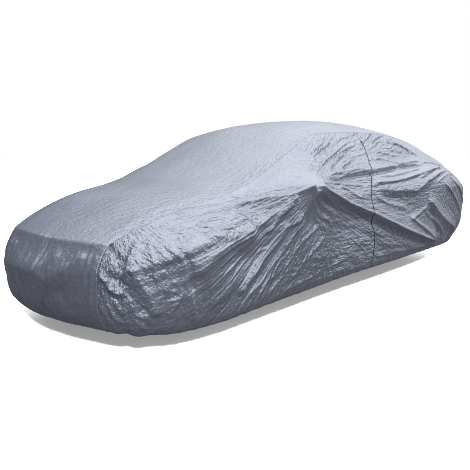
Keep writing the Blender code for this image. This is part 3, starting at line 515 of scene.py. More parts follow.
def rib(rim, foot_x, foot_y, shoulder, slope, hem, tuck, shift, share):
    """Curves from the rim down to the hem; share = 0 at the rim, 1 at the hem."""
    rim = np.asarray(rim, float)
    n = len(rim)
    away = np.stack([foot_x, foot_y], -1) - rim[:, :2]
    reach = np.linalg.norm(away, axis=1)
    out = away / reach[:, None]
    fall = rim[:, 2] - shoulder
    a = np.radians(slope)
    lead = 0.55 * np.minimum(reach / np.maximum(np.cos(a), 0.2),
                             fall / np.maximum(np.sin(a), 0.2))
    lead = np.minimum(lead, 0.6 * np.hypot(reach, fall))
    p0 = np.stack([0 * reach, rim[:, 2]], -1)
    p1 = np.stack([lead * np.cos(a), rim[:, 2] - lead * np.sin(a)], -1)
    p2 = np.stack([reach, shoulder + BEND * fall], -1)
    p3 = np.stack([reach, shoulder], -1)
    t = np.linspace(0, 1, 64)[None, :, None]
    upper = ((1 - t) ** 3 * p0[:, None] + 3 * (1 - t) ** 2 * t * p1[:, None]
             + 3 * (1 - t) * t * t * p2[:, None] + t ** 3 * p3[:, None])
    w = np.linspace(0, 1, 64)[None, 1:]
    z = shoulder[:, None] + (hem - shoulder)[:, None] * w
    r = reach[:, None] - tuck[:, None] * np.clip((w - 0.45) / 0.55, 0, 1) ** 2.2
    curve = np.concatenate([upper, np.stack([r, z], -1)], 1)
    low = np.clip((shoulder[:, None] - curve[:, :, 1]) / (shoulder - hem)[:, None], 0, 1)
    pts = np.stack([rim[:, None, 0] + out[:, None, 0] * curve[:, :, 0],
                    rim[:, None, 1] + out[:, None, 1] * curve[:, :, 0] + shift[:, None] * low,
                    curve[:, :, 1]], -1)
    run = np.concatenate([np.zeros((n, 1)),
                          np.cumsum(np.linalg.norm(np.diff(pts, axis=1), axis=2), 1)], 1)
    res, up = np.zeros((n, len(share), 3)), np.zeros((n, len(share)))
    for i in range(n):
        for k in range(3):
            res[i, :, k] = np.interp(share * run[i, -1], run[i], pts[i, :, k])
        up[i] = run[i, -1] * (1 - share)
    return res, up


RIB_COL = np.array([r[1:] for r in RIBS], float).T
RIB_NO = np.arange(len(RIBS), dtype=float)


def side_ribs(u, share):
    """Left skirt at rib numbers u."""
    c = [smooth(RIB_NO, col, u) for col in RIB_COL]
    rim = np.stack([seam_x(c[0]), c[0], top_height(c[0], 1.0)], -1)
    return rib(rim, *c[1:], share)


def face_ribs(s, share, mid, end):
    """Front or rear face; s runs from -1 (right seam) to 1 (left seam)."""
    a = np.abs(s) ** 2
    _, rim_y1, foot_x1, foot_y1, sh1, slope1, hem1, tuck1, _ = end
    rim_y0, foot_y0, sh0, slope0, hem0, tuck0 = mid

    def mix(p, q):
        return p + (q - p) * a

    rim_y = mix(rim_y0, rim_y1)
    rim = np.stack([s * seam_x(np.full_like(s, rim_y1)), rim_y, top_height(rim_y, s)], -1)
    return rib(rim, s * foot_x1, mix(foot_y0, foot_y1), mix(sh0, sh1), mix(slope0, slope1),
               mix(hem0, hem1), mix(tuck0, tuck1), 0 * s, share)


_fine = np.linspace(0, len(RIBS) - 1, 3001)
_run = np.concatenate([[0], np.cumsum(np.hypot(np.diff(smooth(RIB_NO, RIB_COL[1], _fine)),
                                               np.diff(smooth(RIB_NO, RIB_COL[2], _fine))))])
ALL_ROUND = float(_run[-1])


def foot_run(u):
    return np.interp(u, _fine, _run)


ZIP_ALONG = float(foot_run(ZIP_RIB))


def rib_at(along):
    return np.interp(along, _run, _fine)


# ------------------------------------------------------------------ noise
def fade(x, edge):
    t = np.clip(x / edge, 0, 1)
    return t * t * (3 - 2 * t)


def _grad(ix, iy, seed):
    h = (ix * 374761393 + iy * 668265263 + seed * 974634777) & 0xFFFFFFFF
    h = ((h ^ (h >> 13)) * 1274126177) & 0xFFFFFFFF
    h = h ^ (h >> 16)
    return h.astype(np.float64) * (2 * math.pi / 4294967296.0)


def noise(x, y, seed):
    """Smooth seeded noise, about -0.7 to 0.7, one cell to the unit."""
    x0, y0 = np.floor(x).astype(np.int64), np.floor(y).astype(np.int64)
    fx, fy = x - x0, y - y0
    ux, uy = fx ** 3 * (fx * (fx * 6 - 15) + 10), fy ** 3 * (fy * (fy * 6 - 15) + 10)
    v = []
    for dx in (0, 1):
        for dy in (0, 1):
            a = _grad(x0 + dx, y0 + dy, seed)
            v.append(np.cos(a) * (fx - dx) + np.sin(a) * (fy - dy))
    low = v[0] + (v[2] - v[0]) * ux
    high = v[1] + (v[3] - v[1]) * ux
    return low + (high - low) * uy


# ------------------------------------------------------------------ folds
def through(points, per=7):
    """A smooth line through a fold's points."""
    p = np.array(points, float)
    if len(p) < 3:
        t = np.linspace(0, 1, 2 * per)[:, None]
        return p[0] + (p[-1] - p[0]) * t
    q = np.vstack([2 * p[0] - p[1], p, 2 * p[-1] - p[-2]])
    out = []
    for i in range(1, len(q) - 2):
        t = np.linspace(0, 1, per, endpoint=False)[:, None]
        out.append(0.5 * (2 * q[i] + (q[i + 1] - q[i - 1]) * t
                          + (2 * q[i - 1] - 5 * q[i] + 4 * q[i + 1] - q[i + 2]) * t ** 2
                          + (3 * q[i] - q[i - 1] - 3 * q[i + 1] + q[i + 2]) * t ** 3))
    return np.vstack(out + [p[-1:]])


def add_fold(lift, a, b, fold, seed):
    """Adds one fold to lift; a and b are the flat measures of every point."""
    _, mm, above, below, sharp, fade_a, fade_b, pts = fold
    p = through(pts)
    far = 3.2 * max(above, below) / 1000.0
    rows = np.where((a.max(1) > p[:, 0].min() - far) & (a.min(1) < p[:, 0].max() + far))[0]
    cols = np.where((b.max(0) > p[:, 1].min() - far) & (b.min(0) < p[:, 1].max() + far))[0]
    if len(rows) == 0 or len(cols) == 0:
        return
    r, c = slice(rows[0], rows[-1] + 1), slice(cols[0], cols[-1] + 1)
    x, y = a[r, c], b[r, c]
    wob = min(0.003, min(above, below) / 1000.0 * 0.12)
    x, y = (x + wob * noise(x * 6, y * 6, seed), y + wob * noise(x * 6, y * 6, seed + 1))
    seg = np.diff(p, axis=0)
    length = np.linalg.norm(seg, axis=1)
    total = length.sum()
    best = np.full(x.shape, 1e9)
    side = np.ones(x.shape)
    where = np.zeros(x.shape)
    flip = 1.0 if p[-1, 0] >= p[0, 0] else -1.0
    start = 0.0
    for o, d, ln in zip(p[:-1], seg, length):
        rx, ry = x - o[0], y - o[1]
        t = np.clip((rx * d[0] + ry * d[1]) / ln ** 2, 0, 1)
        ex, ey = rx - t * d[0], ry - t * d[1]
        dist = np.hypot(ex, ey)
        near = dist < best
        best = np.where(near, dist, best)
        side = np.where(near, np.sign(d[0] * ey - d[1] * ex) * flip, side)
        where = np.where(near, (start + t * ln) / total, where)
        start += ln
    width = np.where(side > 0, above, below) / 1000.0
    ends = fade(where + 1e-6, max(fade_a, 1e-3)) * fade(1 - where + 1e-6, max(fade_b, 1e-3))
    uneven = 1 + 0.22 * noise(where * total * 6 + seed, 0 * where + 0.5, seed + 2)
    if sharp:
        across = BOLD * np.exp(-(best / width) ** sharp)
    else:    # two flat planes that meet in a crease
        across = CREASED * np.clip(1 - best / (1.5 * width), 0, 1) ** 1.6
    lift[r, c] += mm / 1000.0 * uneven * across * ends


def heading(a, b, guides):
    """Direction of the small creases at points a, b."""
    cx, sy = np.zeros_like(a), np.zeros_like(a)
    for x, y, deg, reach in guides:
        w = np.exp(-((a - x) ** 2 + (b - y) ** 2) / (2 * reach ** 2)) + 1e-9
        t = math.radians(2 * deg)
        cx += w * math.cos(t)
        sy += w * math.sin(t)
    return 0.5 * np.arctan2(sy, cx)


def busy_share(a, b, places, base):
    v = np.full_like(a, base)
    for x, y, rx, ry, k in places:
        v = v + k * np.exp(-((a - x) / rx) ** 2 - ((b - y) / ry) ** 2)
    return np.clip(v, 0.03, 2.2)


def scatter_creases(lift, a, b, count, seed, guides, places, base, spread, long, wide, steep):
    """Many short straight creases of the crumpled film, seeded and in the run of the folds."""
    rng = np.random.default_rng(seed)
    a0, a1, b1 = a.min(), a.max(), b.max()
    px, py = rng.uniform(a0, a1, count), rng.uniform(0, b1, count)
    turn = heading(px, py, guides) + rng.normal(0, math.radians(spread), count)
    busy = busy_share(px, py, places, base)
    keep = rng.uniform(0, 1.0, count) < busy
    half = long[0] + (long[1] - long[0]) * rng.uniform(0, 1, count) ** 2
    width = wide[0] + (wide[1] - wide[0]) * rng.uniform(0, 1, count) ** 1.5
    slope = steep[0] + (steep[1] - steep[0]) * rng.uniform(0, 1, count)
    sign = np.where(rng.uniform(0, 1, count) < 0.68, 1.0, -1.0)
    bend = rng.normal(0, 0.10, count)
    lean = rng.uniform(0.6, 1.7, count)
    ra = a[:, a.shape[1] // 2]
    for i in np.where(keep)[0]:
        ca, sa = math.cos(turn[i]), math.sin(turn[i])
        reach_a = half[i] * abs(ca) + 4 * width[i]
        reach_b = half[i] * abs(sa) + 4 * width[i]
        r0, r1 = np.searchsorted(ra, [px[i] - reach_a, px[i] + reach_a])
        if r1 - r0 < 2:
            continue
        col = b[(r0 + r1) // 2 if (r0 + r1) // 2 < len(b) else -1]
        cs = np.where(np.abs(col - py[i]) < reach_b + 0.03)[0]
        if len(cs) < 2:
            continue
        r, c = slice(r0, r1), slice(cs[0], cs[-1] + 1)
        dx, dy = a[r, c] - px[i], b[r, c] - py[i]
        t = (dx * ca + dy * sa) / half[i]
        d = -dx * sa + dy * ca + bend[i] * half[i] * t * t
        w = np.where(d * (1 if ca > 0 else -1) > 0, width[i] * lean[i], width[i])
        lift[r, c] += (sign[i] * slope[i] * width[i] * np.exp(-np.abs(d) / w)
                       * np.clip(1 - t * t, 0, 1) * np.clip(1.3 - 0.3 * abs(lean[i]), 0.5, 1.2))


def tent_share(along, up):
    da, du = along - TENT["along"], up - TENT["up"]
    rho = np.hypot(da / np.where(da < 0, TENT["front"], TENT["back"]),
                   du / np.where(du > 0, TENT["above"], TENT["below"]))
    return np.clip(1 - rho, 0, 1) ** TENT["power"]


ZIP_SHIFT_UP = (0.0, 0.10, 0.25, 0.45, 0.60, 0.78, 0.95, 1.06, 1.26)
ZIP_SHIFT_BY = (-0.035, 0.005, 0.030, -0.024, -0.016, 0.050, 0.080, 0.066, 0.000)


def zip_shift(along, up):
    """The cloth beside the zip follows its slightly wandering line."""
    by = smooth(ZIP_SHIFT_UP, ZIP_SHIFT_BY, up)
    return by * np.exp(-((along - ZIP_ALONG) / 0.30) ** 2)


def facing(grid):
    """Outward unit normals of a grid of points."""
    n = np.cross(np.gradient(grid, axis=1), np.gradient(grid, axis=0))
    n /= np.linalg.norm(n, axis=2, keepdims=True)
    i, j = n.shape[0] // 2, n.shape[1] // 2
    if n[i, j] @ (grid[i, j] - np.array([0, 0.2, 0.6])) < 0:
        n = -n
    return n


def side_crinkle(along, up, seed):
    """Loose crinkle of a side with no direction of its own, in metres."""
    wx = 0.5 * noise(along * 6, up * 6, seed + 1)
    wy = 0.5 * noise(along * 6, up * 6, seed + 2)
    busy = busy_share(along, up, BUSY, 0.75)
    mid = np.abs(noise(along * 9 + wx * 2, up * 10 + wy * 2, seed + 5)) * 0.0010
    small = np.abs(noise(along * 21 + wx * 3, up * 23 + wy * 3, seed + 6)) * 0.0008
    return -(mid + small) * busy


def side_shape(u, share, folds, seed, tent=1.0):
    """One skirt with its tent, folds, creases and gathers."""
    base, up = side_ribs(u, share)
    along = np.repeat(foot_run(u)[:, None], len(share), 1)
    top_run = up[:, :1] - up
    by = zip_shift(along, up) * fade(top_run, 0.15)
    on = np.gradient(base, axis=0)
    base = base + on / np.linalg.norm(on, axis=2, keepdims=True) * by[:, :, None]
    n = facing(base)
    along = along + by
    ends = fade(along, 0.03) * fade(ALL_ROUND - along, 0.03)
    calm = fade(top_run, 0.022) * ends
    lift = side_crinkle(along, up, seed)
    for x, y, rx, ry, mm in SIDE_SWELLS:
        lift += mm / 1000.0 * np.exp(-((along - x) / rx) ** 2 - ((up - y) / ry) ** 2)
    if tent < 1:
        lift -= 0.022 * np.exp(-((along - 0.22) / 0.28) ** 2 - ((up - 0.42) / 0.17) ** 2)
    for k, fold in enumerate(folds):
        add_fold(lift, along, up, fold, seed + 10 * k)
    spread = float(along.max() - along.min()) / 4.86
    scatter_creases(lift, along, up, int(500 * spread), seed + 5, GUIDES, BUSY, 0.50,
                    4, (0.12, 0.40), (0.009, 0.016), (0.05, 0.16))
    scatter_creases(lift, along, up, int(900 * spread), seed + 6, GUIDES, BUSY, 0.40,
                    14, (0.04, 0.12), (0.008, 0.011), (0.05, 0.17))
    lift = lift * calm
    hem = np.exp(-(up / GATHER_RISE) ** 2) * ends
    for at, half, mm in GATHERS:
        lift = lift + mm / 1000.0 * np.exp(-((along - at) / half) ** 2) * hem
    pucker = noise(along * 17 + 0.4 * noise(along * 5, up * 0, seed + 8), up * 2.5, seed + 9)
    lift = lift + 0.0070 * pucker * np.exp(-up / 0.045) * ends
    lift = lift - HEM_CURL * np.exp(-(up / 0.026) ** 1.4)
    pts = base + n * lift[:, :, None]
    pts[:, :, 2] -= HEM_DROP * np.exp(-(up / 0.06) ** 2)
    share_t = tent * tent_share(along, up) * fade(top_run, 0.10)
    pts[:, :, 0] += TENT["push"] * share_t
    pts[:, :, 2] += TENT["lift"] * share_t
    return pts, along, up


def top_crinkle(x, run, y, seed):
    wx = 0.3 * noise(x * 5, run * 5, seed + 1)
    wy = 0.3 * noise(x * 5, run * 5, seed + 2)
    rear = fade(y - 0.5, 1.0)
    front = 1 - fade(y + 2.17, 0.06)
    loose = (np.abs(noise(x * 11 + wx, run * 9 + wy, seed + 3)) * 0.010
             + np.abs(noise(x * 24 + wx, run * 22 + wy, seed + 4)) * 0.0045)
    calm = noise(x * 4 + wx, run * 1.6 + wy, seed + 5) * 0.0030
    upright = np.abs(noise(x * 26 + wx, run * 3.5, seed + 6)) * 0.015
    return calm - loose * (0.06 + 0.9 * rear) - upright * front


def centre_shape(rim_y, share, seed):
    """Rows from the front hem over the top to the rear hem, columns from right to left."""
    s = np.linspace(-1, 1, CELLS_CENTRE + 1)
    a = np.abs(s) ** 2
    w = (rim_y - rim_y[0]) / (rim_y[-1] - rim_y[0])
    y0 = FRONT_MID[0] + (rim_y[0] - FRONT_MID[0]) * a
    y1 = REAR_MID[0] + (rim_y[-1] - REAR_MID[0]) * a
    y = y0[None] + (y1 - y0)[None] * w[:, None]
    top = np.stack([s[None] * seam_x(rim_y)[:, None], y, top_height(y, s[None])], -1)
    for x0, yc, rx, ry, mm in TOP_SINKS:
        hump = np.exp(-((top[:, :, 0] - x0) / rx) ** 2 - ((top[:, :, 1] - yc) / ry) ** 2)
        top[:, :, 2] += mm / 1000.0 * hump * fade(1 - np.abs(s), 0.25)[None]
    front, _ = face_ribs(s, share, FRONT_MID, RIBS[0])
    rear, _ = face_ribs(s, share, REAR_MID, RIBS[-1])
    front = front.transpose(1, 0, 2)[::-1]
    rear = rear.transpose(1, 0, 2)
    g = np.concatenate([front[:-1], top, rear[1:]], 0)
    mid = g.shape[1] // 2
    run = np.concatenate([[0], np.cumsum(np.linalg.norm(np.diff(g[:, mid], axis=0), axis=1))])
    run = np.repeat(run[:, None], g.shape[1], 1)
    lift = top_crinkle(g[:, :, 0], run, g[:, :, 1], seed)
    cross, back = g[:, :, 0], run
    turned = np.ascontiguousarray(lift.T)
    for k, fold in enumerate(CENTRE_FOLDS):
        add_fold(turned, cross.T, back.T, fold, seed + 10 * k)
    lift = turned.T
    lift = lift * fade(1 - np.abs(s), 0.06)[None]
    to_end = np.minimum(run, run.max() - run)
    lift = lift - HEM_CURL * np.exp(-(to_end / 0.026) ** 1.4)
    n = facing(g)
    out = g + n * lift[:, :, None]
    out[:, :, 2] -= HEM_DROP * np.exp(-(to_end / 0.06) ** 2)
    return out, g[:, :, 0], run


# ------------------------------------------------------------------ meshes
def at_mount(p):
    return p - np.array([0.0, ROOF_Y, GROUND_DROP])


def inset(grid, edge, by):
    g = grid.copy()
    by = by if np.isscalar(by) else np.asarray(by)[:, None]
    a, b = {"first_row": (g[0], g[1]), "last_row": (g[-1], g[-2]),
            "first_col": (g[:, 0], g[:, 1]), "last_col": (g[:, -1], g[:, -2])}[edge]
    d = b - a
    a += d / np.linalg.norm(d, axis=1, keepdims=True) * by
    return g


def lay_weights(a, b, guides, places, base):
    """Share of the four crease families at each point."""
    t = heading(a, b, guides)
    busy = busy_share(a, b, places, base)
    w = [np.clip(np.cos(2 * (t - math.radians(d))), 0, 1) ** 1.5 for d in (0, 45, 90, 135)]
    w = np.stack(w, -1) * 0.8 + 0.14
    return w * busy[..., None]


def tent_rays(a, b, most):
    """Fine straight creases that spread from the tip of the tent: where each point lies
    round the tip and away from it, and how high they stand there."""
    da, db = a - RAYS["along"], b - RAYS["up"]
    away = np.hypot(da, db) + 1e-6
    round_tip = np.arctan2(-da * RAYS["cut"][0] - db * RAYS["cut"][1],
                           da * RAYS["cut"][1] - db * RAYS["cut"][0])
    open_part = np.clip((math.pi - np.abs(round_tip - 0.5 * math.pi)) / 1.0, 0, 1)
    deg = np.degrees(np.arctan2(db, da))
    share = np.zeros_like(a)
    for at, half, k in RAYS["sectors"]:
        share += k * np.exp(-(((deg - at + 180) % 360 - 180) / half) ** 2)
    high = np.clip(share, 0, 1.3) * np.minimum(away, 0.75) * np.clip(1.9 - away / 0.9, 0.12, 1)
    high = high * np.clip((away - 0.03) / 0.06, 0, 1)
    return np.stack([round_tip, np.log(away), most * high, np.ones_like(a)], -1)


def sheet_mesh(name, outer, thick, material, uv=None, proud=0.0, lay=None, rays=None):
    """A closed thin sheet from a grid of points, with its flat measures as UVs."""
    n = facing(outer)
    nr, nc = outer.shape[:2]
    pts = np.concatenate([(outer + n * proud).reshape(-1, 3),
                          (outer + n * (proud - thick)).reshape(-1, 3)])
    pts = at_mount(pts)
    idx = np.arange(nr * nc).reshape(nr, nc)
    a, b, c, d = idx[:-1, :-1], idx[1:, :-1], idx[1:, 1:], idx[:-1, 1:]
    of = np.stack([a, b, c, d], -1).reshape(-1, 4)
    k = nr * nc
    inner = of[:, ::-1] + k

    def strip(line, flip):
        q = np.stack([line[:-1], line[1:], line[1:] + k, line[:-1] + k], -1)
        return q[:, ::-1] if flip else q

    faces = np.concatenate([of, inner, strip(idx[:, 0], True), strip(idx[:, -1], False),
                            strip(idx[0], False), strip(idx[-1], True)])
    # outward winding
    q = pts[of[len(of) // 2]]
    fn = np.cross(q[2] - q[0], q[3] - q[1])
    if fn @ n.reshape(-1, 3)[of[len(of) // 2, 0]] < 0:
        faces = faces[:, ::-1]
    me = bpy.data.meshes.new(name)
    me.vertices.add(len(pts))
    me.vertices.foreach_set("co", pts.astype(np.float32).ravel())
    me.loops.add(faces.size)
    me.loops.foreach_set("vertex_index", faces.astype(np.int32).ravel())
    me.polygons.add(len(faces))
    me.polygons.foreach_set("loop_start", np.arange(0, faces.size, 4, dtype=np.int32))
    me.polygons.foreach_set("use_smooth", np.ones(len(faces), bool))
    me.update(calc_edges=True)
    if uv is not None:
        flat = np.stack([uv[0].ravel(), uv[1].ravel()], -1)
        flat = np.concatenate([flat, flat])[faces.ravel()]
        me.uv_layers.new(name="flat").data.foreach_set("uv", flat.astype(np.float32).ravel())
    if lay is not None:
        w = lay.reshape(-1, 4)
        layer = me.color_attributes.new(name="lay", type="FLOAT_COLOR", domain="POINT")
        layer.data.foreach_set("color", np.concatenate([w, w]).astype(np.float32).ravel())
    if rays is not None:
        w = rays.reshape(-1, 4)
        layer = me.color_attributes.new(name="rays", type="FLOAT_COLOR", domain="POINT")
        layer.data.foreach_set("color", np.concatenate([w, w]).astype(np.float32).ravel())
    me.validate()
    ob = bpy.data.objects.new(name, me)
    bpy.context.collection.objects.link(ob)
    me.materials.append(material)
    return ob


# ------------------------------------------------------------------ materials
def film_cloth(name, tint, rough, metal, offset, deep_by, fans=True, loose_by=1.0):
    """Crinkled, half-glossy silver film. Its small creases run four ways, and each
    place's own share of the four comes from the mesh's "lay" layer."""
    m = bpy.data.materials.new(name)
    m.use_nodes = True
    nt = m.node_tree
    nt.nodes.clear()

    def N(kind, **inputs):
        node = nt.nodes.new(kind)
        for k, v in inputs.items():
            node.inputs[k.replace("_", " ")].default_value = v
        return node

    def math_node(op, a, b=None):
        node = nt.nodes.new("ShaderNodeMath")
        node.operation = op
        for i, v in enumerate((a, b)):
            if v is None:
                continue
            if isinstance(v, (int, float)):
                node.inputs[i].default_value = v
            else:
                L(v, node.inputs[i])
        return node.outputs[0]

    L = nt.links.new
    out = N("ShaderNodeOutputMaterial")
    b = N("ShaderNodeBsdfPrincipled")
    L(b.outputs[0], out.inputs[0])
    uv = N("ShaderNodeUVMap")
    uv.uv_map = "flat"
    shift = N("ShaderNodeVectorMath")
    shift.operation = "ADD"
    shift.inputs[1].default_value = offset
    L(uv.outputs[0], shift.inputs[0])
    lay = N("ShaderNodeAttribute")
    lay.attribute_name = "lay"
    parts = N("ShaderNodeSeparateColor")
    L(lay.outputs["Color"], parts.inputs[0])
    weights = [parts.outputs[0], parts.outputs[1], parts.outputs[2], lay.outputs["Alpha"]]

    # colour: faint cloudiness
    cloud = N("ShaderNodeTexNoise", Scale=3.0, Detail=6.0)
    L(shift.outputs[0], cloud.inputs["Vector"])
    ramp = N("ShaderNodeValToRGB")
    ramp.color_ramp.elements[0].position = 0.3
    ramp.color_ramp.elements[1].position = 0.72
    ramp.color_ramp.elements[0].color = tuple(t * 0.93 for t in tint) + (1,)
    ramp.color_ramp.elements[1].color = tuple(min(1, t * 1.06) for t in tint) + (1,)
    L(cloud.outputs["Fac"], ramp.inputs["Fac"])
    L(ramp.outputs["Color"], b.inputs["Base Color"])
    b.inputs["Metallic"].default_value = metal
    r_map = N("ShaderNodeMapRange", To_Min=rough - 0.06, To_Max=rough + 0.08)
    L(cloud.outputs["Fac"], r_map.inputs["Value"])
    L(r_map.outputs["Result"], b.inputs["Roughness"])

    # small creases: flat facets with sharp edges, each family stretched along its own run
    height = None
    for k, deg in enumerate((0, 45, 90, 135)):
        turn = N("ShaderNodeVectorRotate")
        turn.rotation_type = "Z_AXIS"
        turn.inputs["Angle"].default_value = -math.radians(deg)
        L(shift.outputs[0], turn.inputs["Vector"])
        for across, along_run, deep in ((30.0, 10.0, 0.62), (66.0, 30.0, 0.42)):
            stretch = N("ShaderNodeVectorMath")
            stretch.operation = "MULTIPLY"
            stretch.inputs[1].default_value = (along_run, across, 1.0)
            L(turn.outputs[0], stretch.inputs[0])
            tex = N("ShaderNodeTexVoronoi", Scale=1.0)
            tex.voronoi_dimensions = "2D"
            tex.distance = "MANHATTAN"
            L(stretch.outputs[0], tex.inputs["Vector"])
            crest = math_node("MULTIPLY", tex.outputs["Distance"], -deep)
            part = math_node("MULTIPLY", crest, weights[k])
            height = part if height is None else math_node("ADD", height, part)
    for cell, deep in ((16.0, 0.16), (37.0, 0.26), (83.0, 0.22)):
        loose = N("ShaderNodeTexVoronoi", Scale=cell)
        loose.voronoi_dimensions = "2D"
        loose.distance = "EUCLIDEAN"
        L(shift.outputs[0], loose.inputs["Vector"])
        height = math_node("ADD", height, math_node("MULTIPLY", loose.outputs["Distance"], deep * loose_by))
    if fans:
        rays = N("ShaderNodeAttribute")
        rays.attribute_name = "rays"
        ray = N("ShaderNodeSeparateColor")
        L(rays.outputs["Color"], ray.inputs[0])
        for turns, away, deep in ((15.0, 1.3, 2.3), (34.0, 2.6, 1.2)):
            at = N("ShaderNodeCombineXYZ")
            L(math_node("MULTIPLY", ray.outputs[0], turns), at.inputs[0])
            L(math_node("MULTIPLY", ray.outputs[1], away), at.inputs[1])
            tex = N("ShaderNodeTexVoronoi", Scale=1.0)
            tex.voronoi_dimensions = "2D"
            tex.distance = "MANHATTAN"
            L(at.outputs[0], tex.inputs["Vector"])
            crest = math_node("MULTIPLY", tex.outputs["Distance"], -deep)
            height = math_node("ADD", height, math_node("MULTIPLY", crest, ray.outputs[2]))
    creases = N("ShaderNodeBump", Strength=1.0, Distance=deep_by)
    L(height, creases.inputs["Height"])
    grain = N("ShaderNodeTexNoise", Scale=230.0, Detail=3.0, Roughness=0.6)
    L(shift.outputs[0], grain.inputs["Vector"])
    grains = N("ShaderNodeBump", Strength=0.5, Distance=0.0010)
    L(grain.outputs["Fac"], grains.inputs["Height"])
    L(creases.outputs[0], grains.inputs["Normal"])
    L(grains.outputs[0], b.inputs["Normal"])
    b.inputs["Specular IOR Level"].default_value = 0.5
    return m


def plain(name, colour, rough, metal=0.0):
    m = bpy.data.materials.new(name)
    m.use_nodes = True
    b = m.node_tree.nodes["Principled BSDF"]
    b.inputs["Base Color"].default_value = (*colour, 1)
    b.inputs["Roughness"].default_value = rough
    b.inputs["Metallic"].default_value = metal
    return m


def woven_tape(name, colour):
    """Dark ribbed tape."""
    m = plain(name, colour, 0.75)
    nt = m.node_tree
    b = nt.nodes["Principled BSDF"]
    co = nt.nodes.new("ShaderNodeTexCoord")
    wave = nt.nodes.new("ShaderNodeTexWave")
    wave.bands_direction = "Z"
    wave.inputs["Scale"].default_value = 260.0
    wave.inputs["Distortion"].default_value = 0.6
    nt.links.new(co.outputs["Object"], wave.inputs["Vector"])
    bump = nt.nodes.new("ShaderNodeBump")
    bump.inputs["Strength"].default_value = 0.6
    bump.inputs["Distance"].default_value = 0.0004
    nt.links.new(wave.outputs["Fac"], bump.inputs["Height"])
    nt.links.new(bump.outputs[0], b.inputs["Normal"])
    return m


def worn_metal(name, colour):
    """Dark enamel on metal, a little uneven in its gloss."""
    m = plain(name, colour, 0.35, 0.9)
    nt = m.node_tree
    b = nt.nodes["Principled BSDF"]
    co = nt.nodes.new("ShaderNodeTexCoord")
    tex = nt.nodes.new("ShaderNodeTexNoise")
    tex.inputs["Scale"].default_value = 420.0
    tex.inputs["Detail"].default_value = 4.0
    nt.links.new(co.outputs["Object"], tex.inputs["Vector"])
    to = nt.nodes.new("ShaderNodeMapRange")
    to.inputs["To Min"].default_value = 0.25
    to.inputs["To Max"].default_value = 0.50
    nt.links.new(tex.outputs["Fac"], to.inputs["Value"])
    nt.links.new(to.outputs["Result"], b.inputs["Roughness"])
    bump = nt.nodes.new("ShaderNodeBump")
    bump.inputs["Distance"].default_value = 0.00006
    nt.links.new(tex.outputs["Fac"], bump.inputs["Height"])
    nt.links.new(bump.outputs[0], b.inputs["Normal"])
    return m


TINT = (0.33, 0.355, 0.42)
cloth_mat = {n: film_cloth(n + "_film", TINT, 0.34, 0.65, o, deep, n != "centre",
                            0.45 if n == "centre" else 1.0)
             for n, o, deep in
             (("centre", (3.1, 0, 0), 0.0068), ("front", (0, 7.3, 0), 0.0078),
              ("rear", (0, 7.3, 0), 0.0078), ("right", (11.7, 2.9, 0), 0.0070))}

# ------------------------------------------------------------------ panels
zip_along = float(foot_run(ZIP_RIB))
u_front = rib_at(np.linspace(0, zip_along, CELLS_FRONT[0] + 1))
u_rear = rib_at(np.linspace(zip_along, ALL_ROUND, CELLS_REAR[0] + 1))
u_right = rib_at(np.linspace(0, ALL_ROUND, CELLS_RIGHT[0] + 1))
half = SEAM_GAP / 2


def zip_gap(share):
    """Half the opening between the two left pieces: closed above the zip's top end."""
    return half + (ZIP_HALF + 0.0003 - half) * fade(share - ZIP_TOP, 0.012)


g, al, up = side_shape(u_front, np.linspace(0, 1, CELLS_FRONT[1] + 1), FOLDS, 11)
PARTS = {"front": (g.copy(), al, up)}
share_f = np.linspace(0, 1, CELLS_FRONT[1] + 1)
g_front = inset(inset(inset(g, "first_col", half), "first_row", half), "last_row", zip_gap(share_f))
front = sheet_mesh("left_front_cloth", g_front, SHEET, cloth_mat["front"], (al, up),
                   lay=lay_weights(al, up, GUIDES, BUSY, 0.75), rays=tent_rays(al, up, 1.0))

g, al, up = side_shape(u_rear, np.linspace(0, 1, CELLS_REAR[1] + 1), FOLDS, 11)
PARTS["rear"] = (g.copy(), al, up)
share_r = np.linspace(0, 1, CELLS_REAR[1] + 1)
g_rear = inset(inset(inset(g, "first_col", half), "first_row", zip_gap(share_r)), "last_row", half)
rear = sheet_mesh("left_rear_cloth", g_rear, SHEET, cloth_mat["rear"], (al, up),
                  lay=lay_weights(al, up, GUIDES, BUSY, 0.75), rays=tent_rays(al, up, 1.0))
zip_line = g[0].copy()

g, al, up = side_shape(u_right, np.linspace(0, 1, CELLS_RIGHT[1] + 1), RIGHT_FOLDS, 53,
                       RIGHT_TENT)
g = inset(inset(inset(g, "first_col", half), "first_row", half), "last_row", half)
g_right = g * np.array([-1.0, 1, 1])
right = sheet_mesh("right_cloth", g_right, SHEET, cloth_mat["right"], (al, up),
                   lay=lay_weights(al, up, GUIDES, BUSY, 0.75), rays=tent_rays(al, up, 0.7))

rim_y = smooth(RIB_NO, RIB_COL[0], rib_at(np.linspace(0, ALL_ROUND, CELLS_TOP + 1)))
g, gx, run = centre_shape(rim_y, np.linspace(0, 1, CELLS_FACE + 1), 29)
PARTS["centre"] = (g.copy(), gx, run)
g_centre = inset(inset(g, "first_col", half), "last_col", half)
centre = sheet_mesh("centre_cloth", g_centre, SHEET, cloth_mat["centre"], (gx, run),
                    lay=lay_weights(gx, run, TOP_GUIDES, TOP_BUSY, 0.42))
CENTRE_RUN = float(run.max())

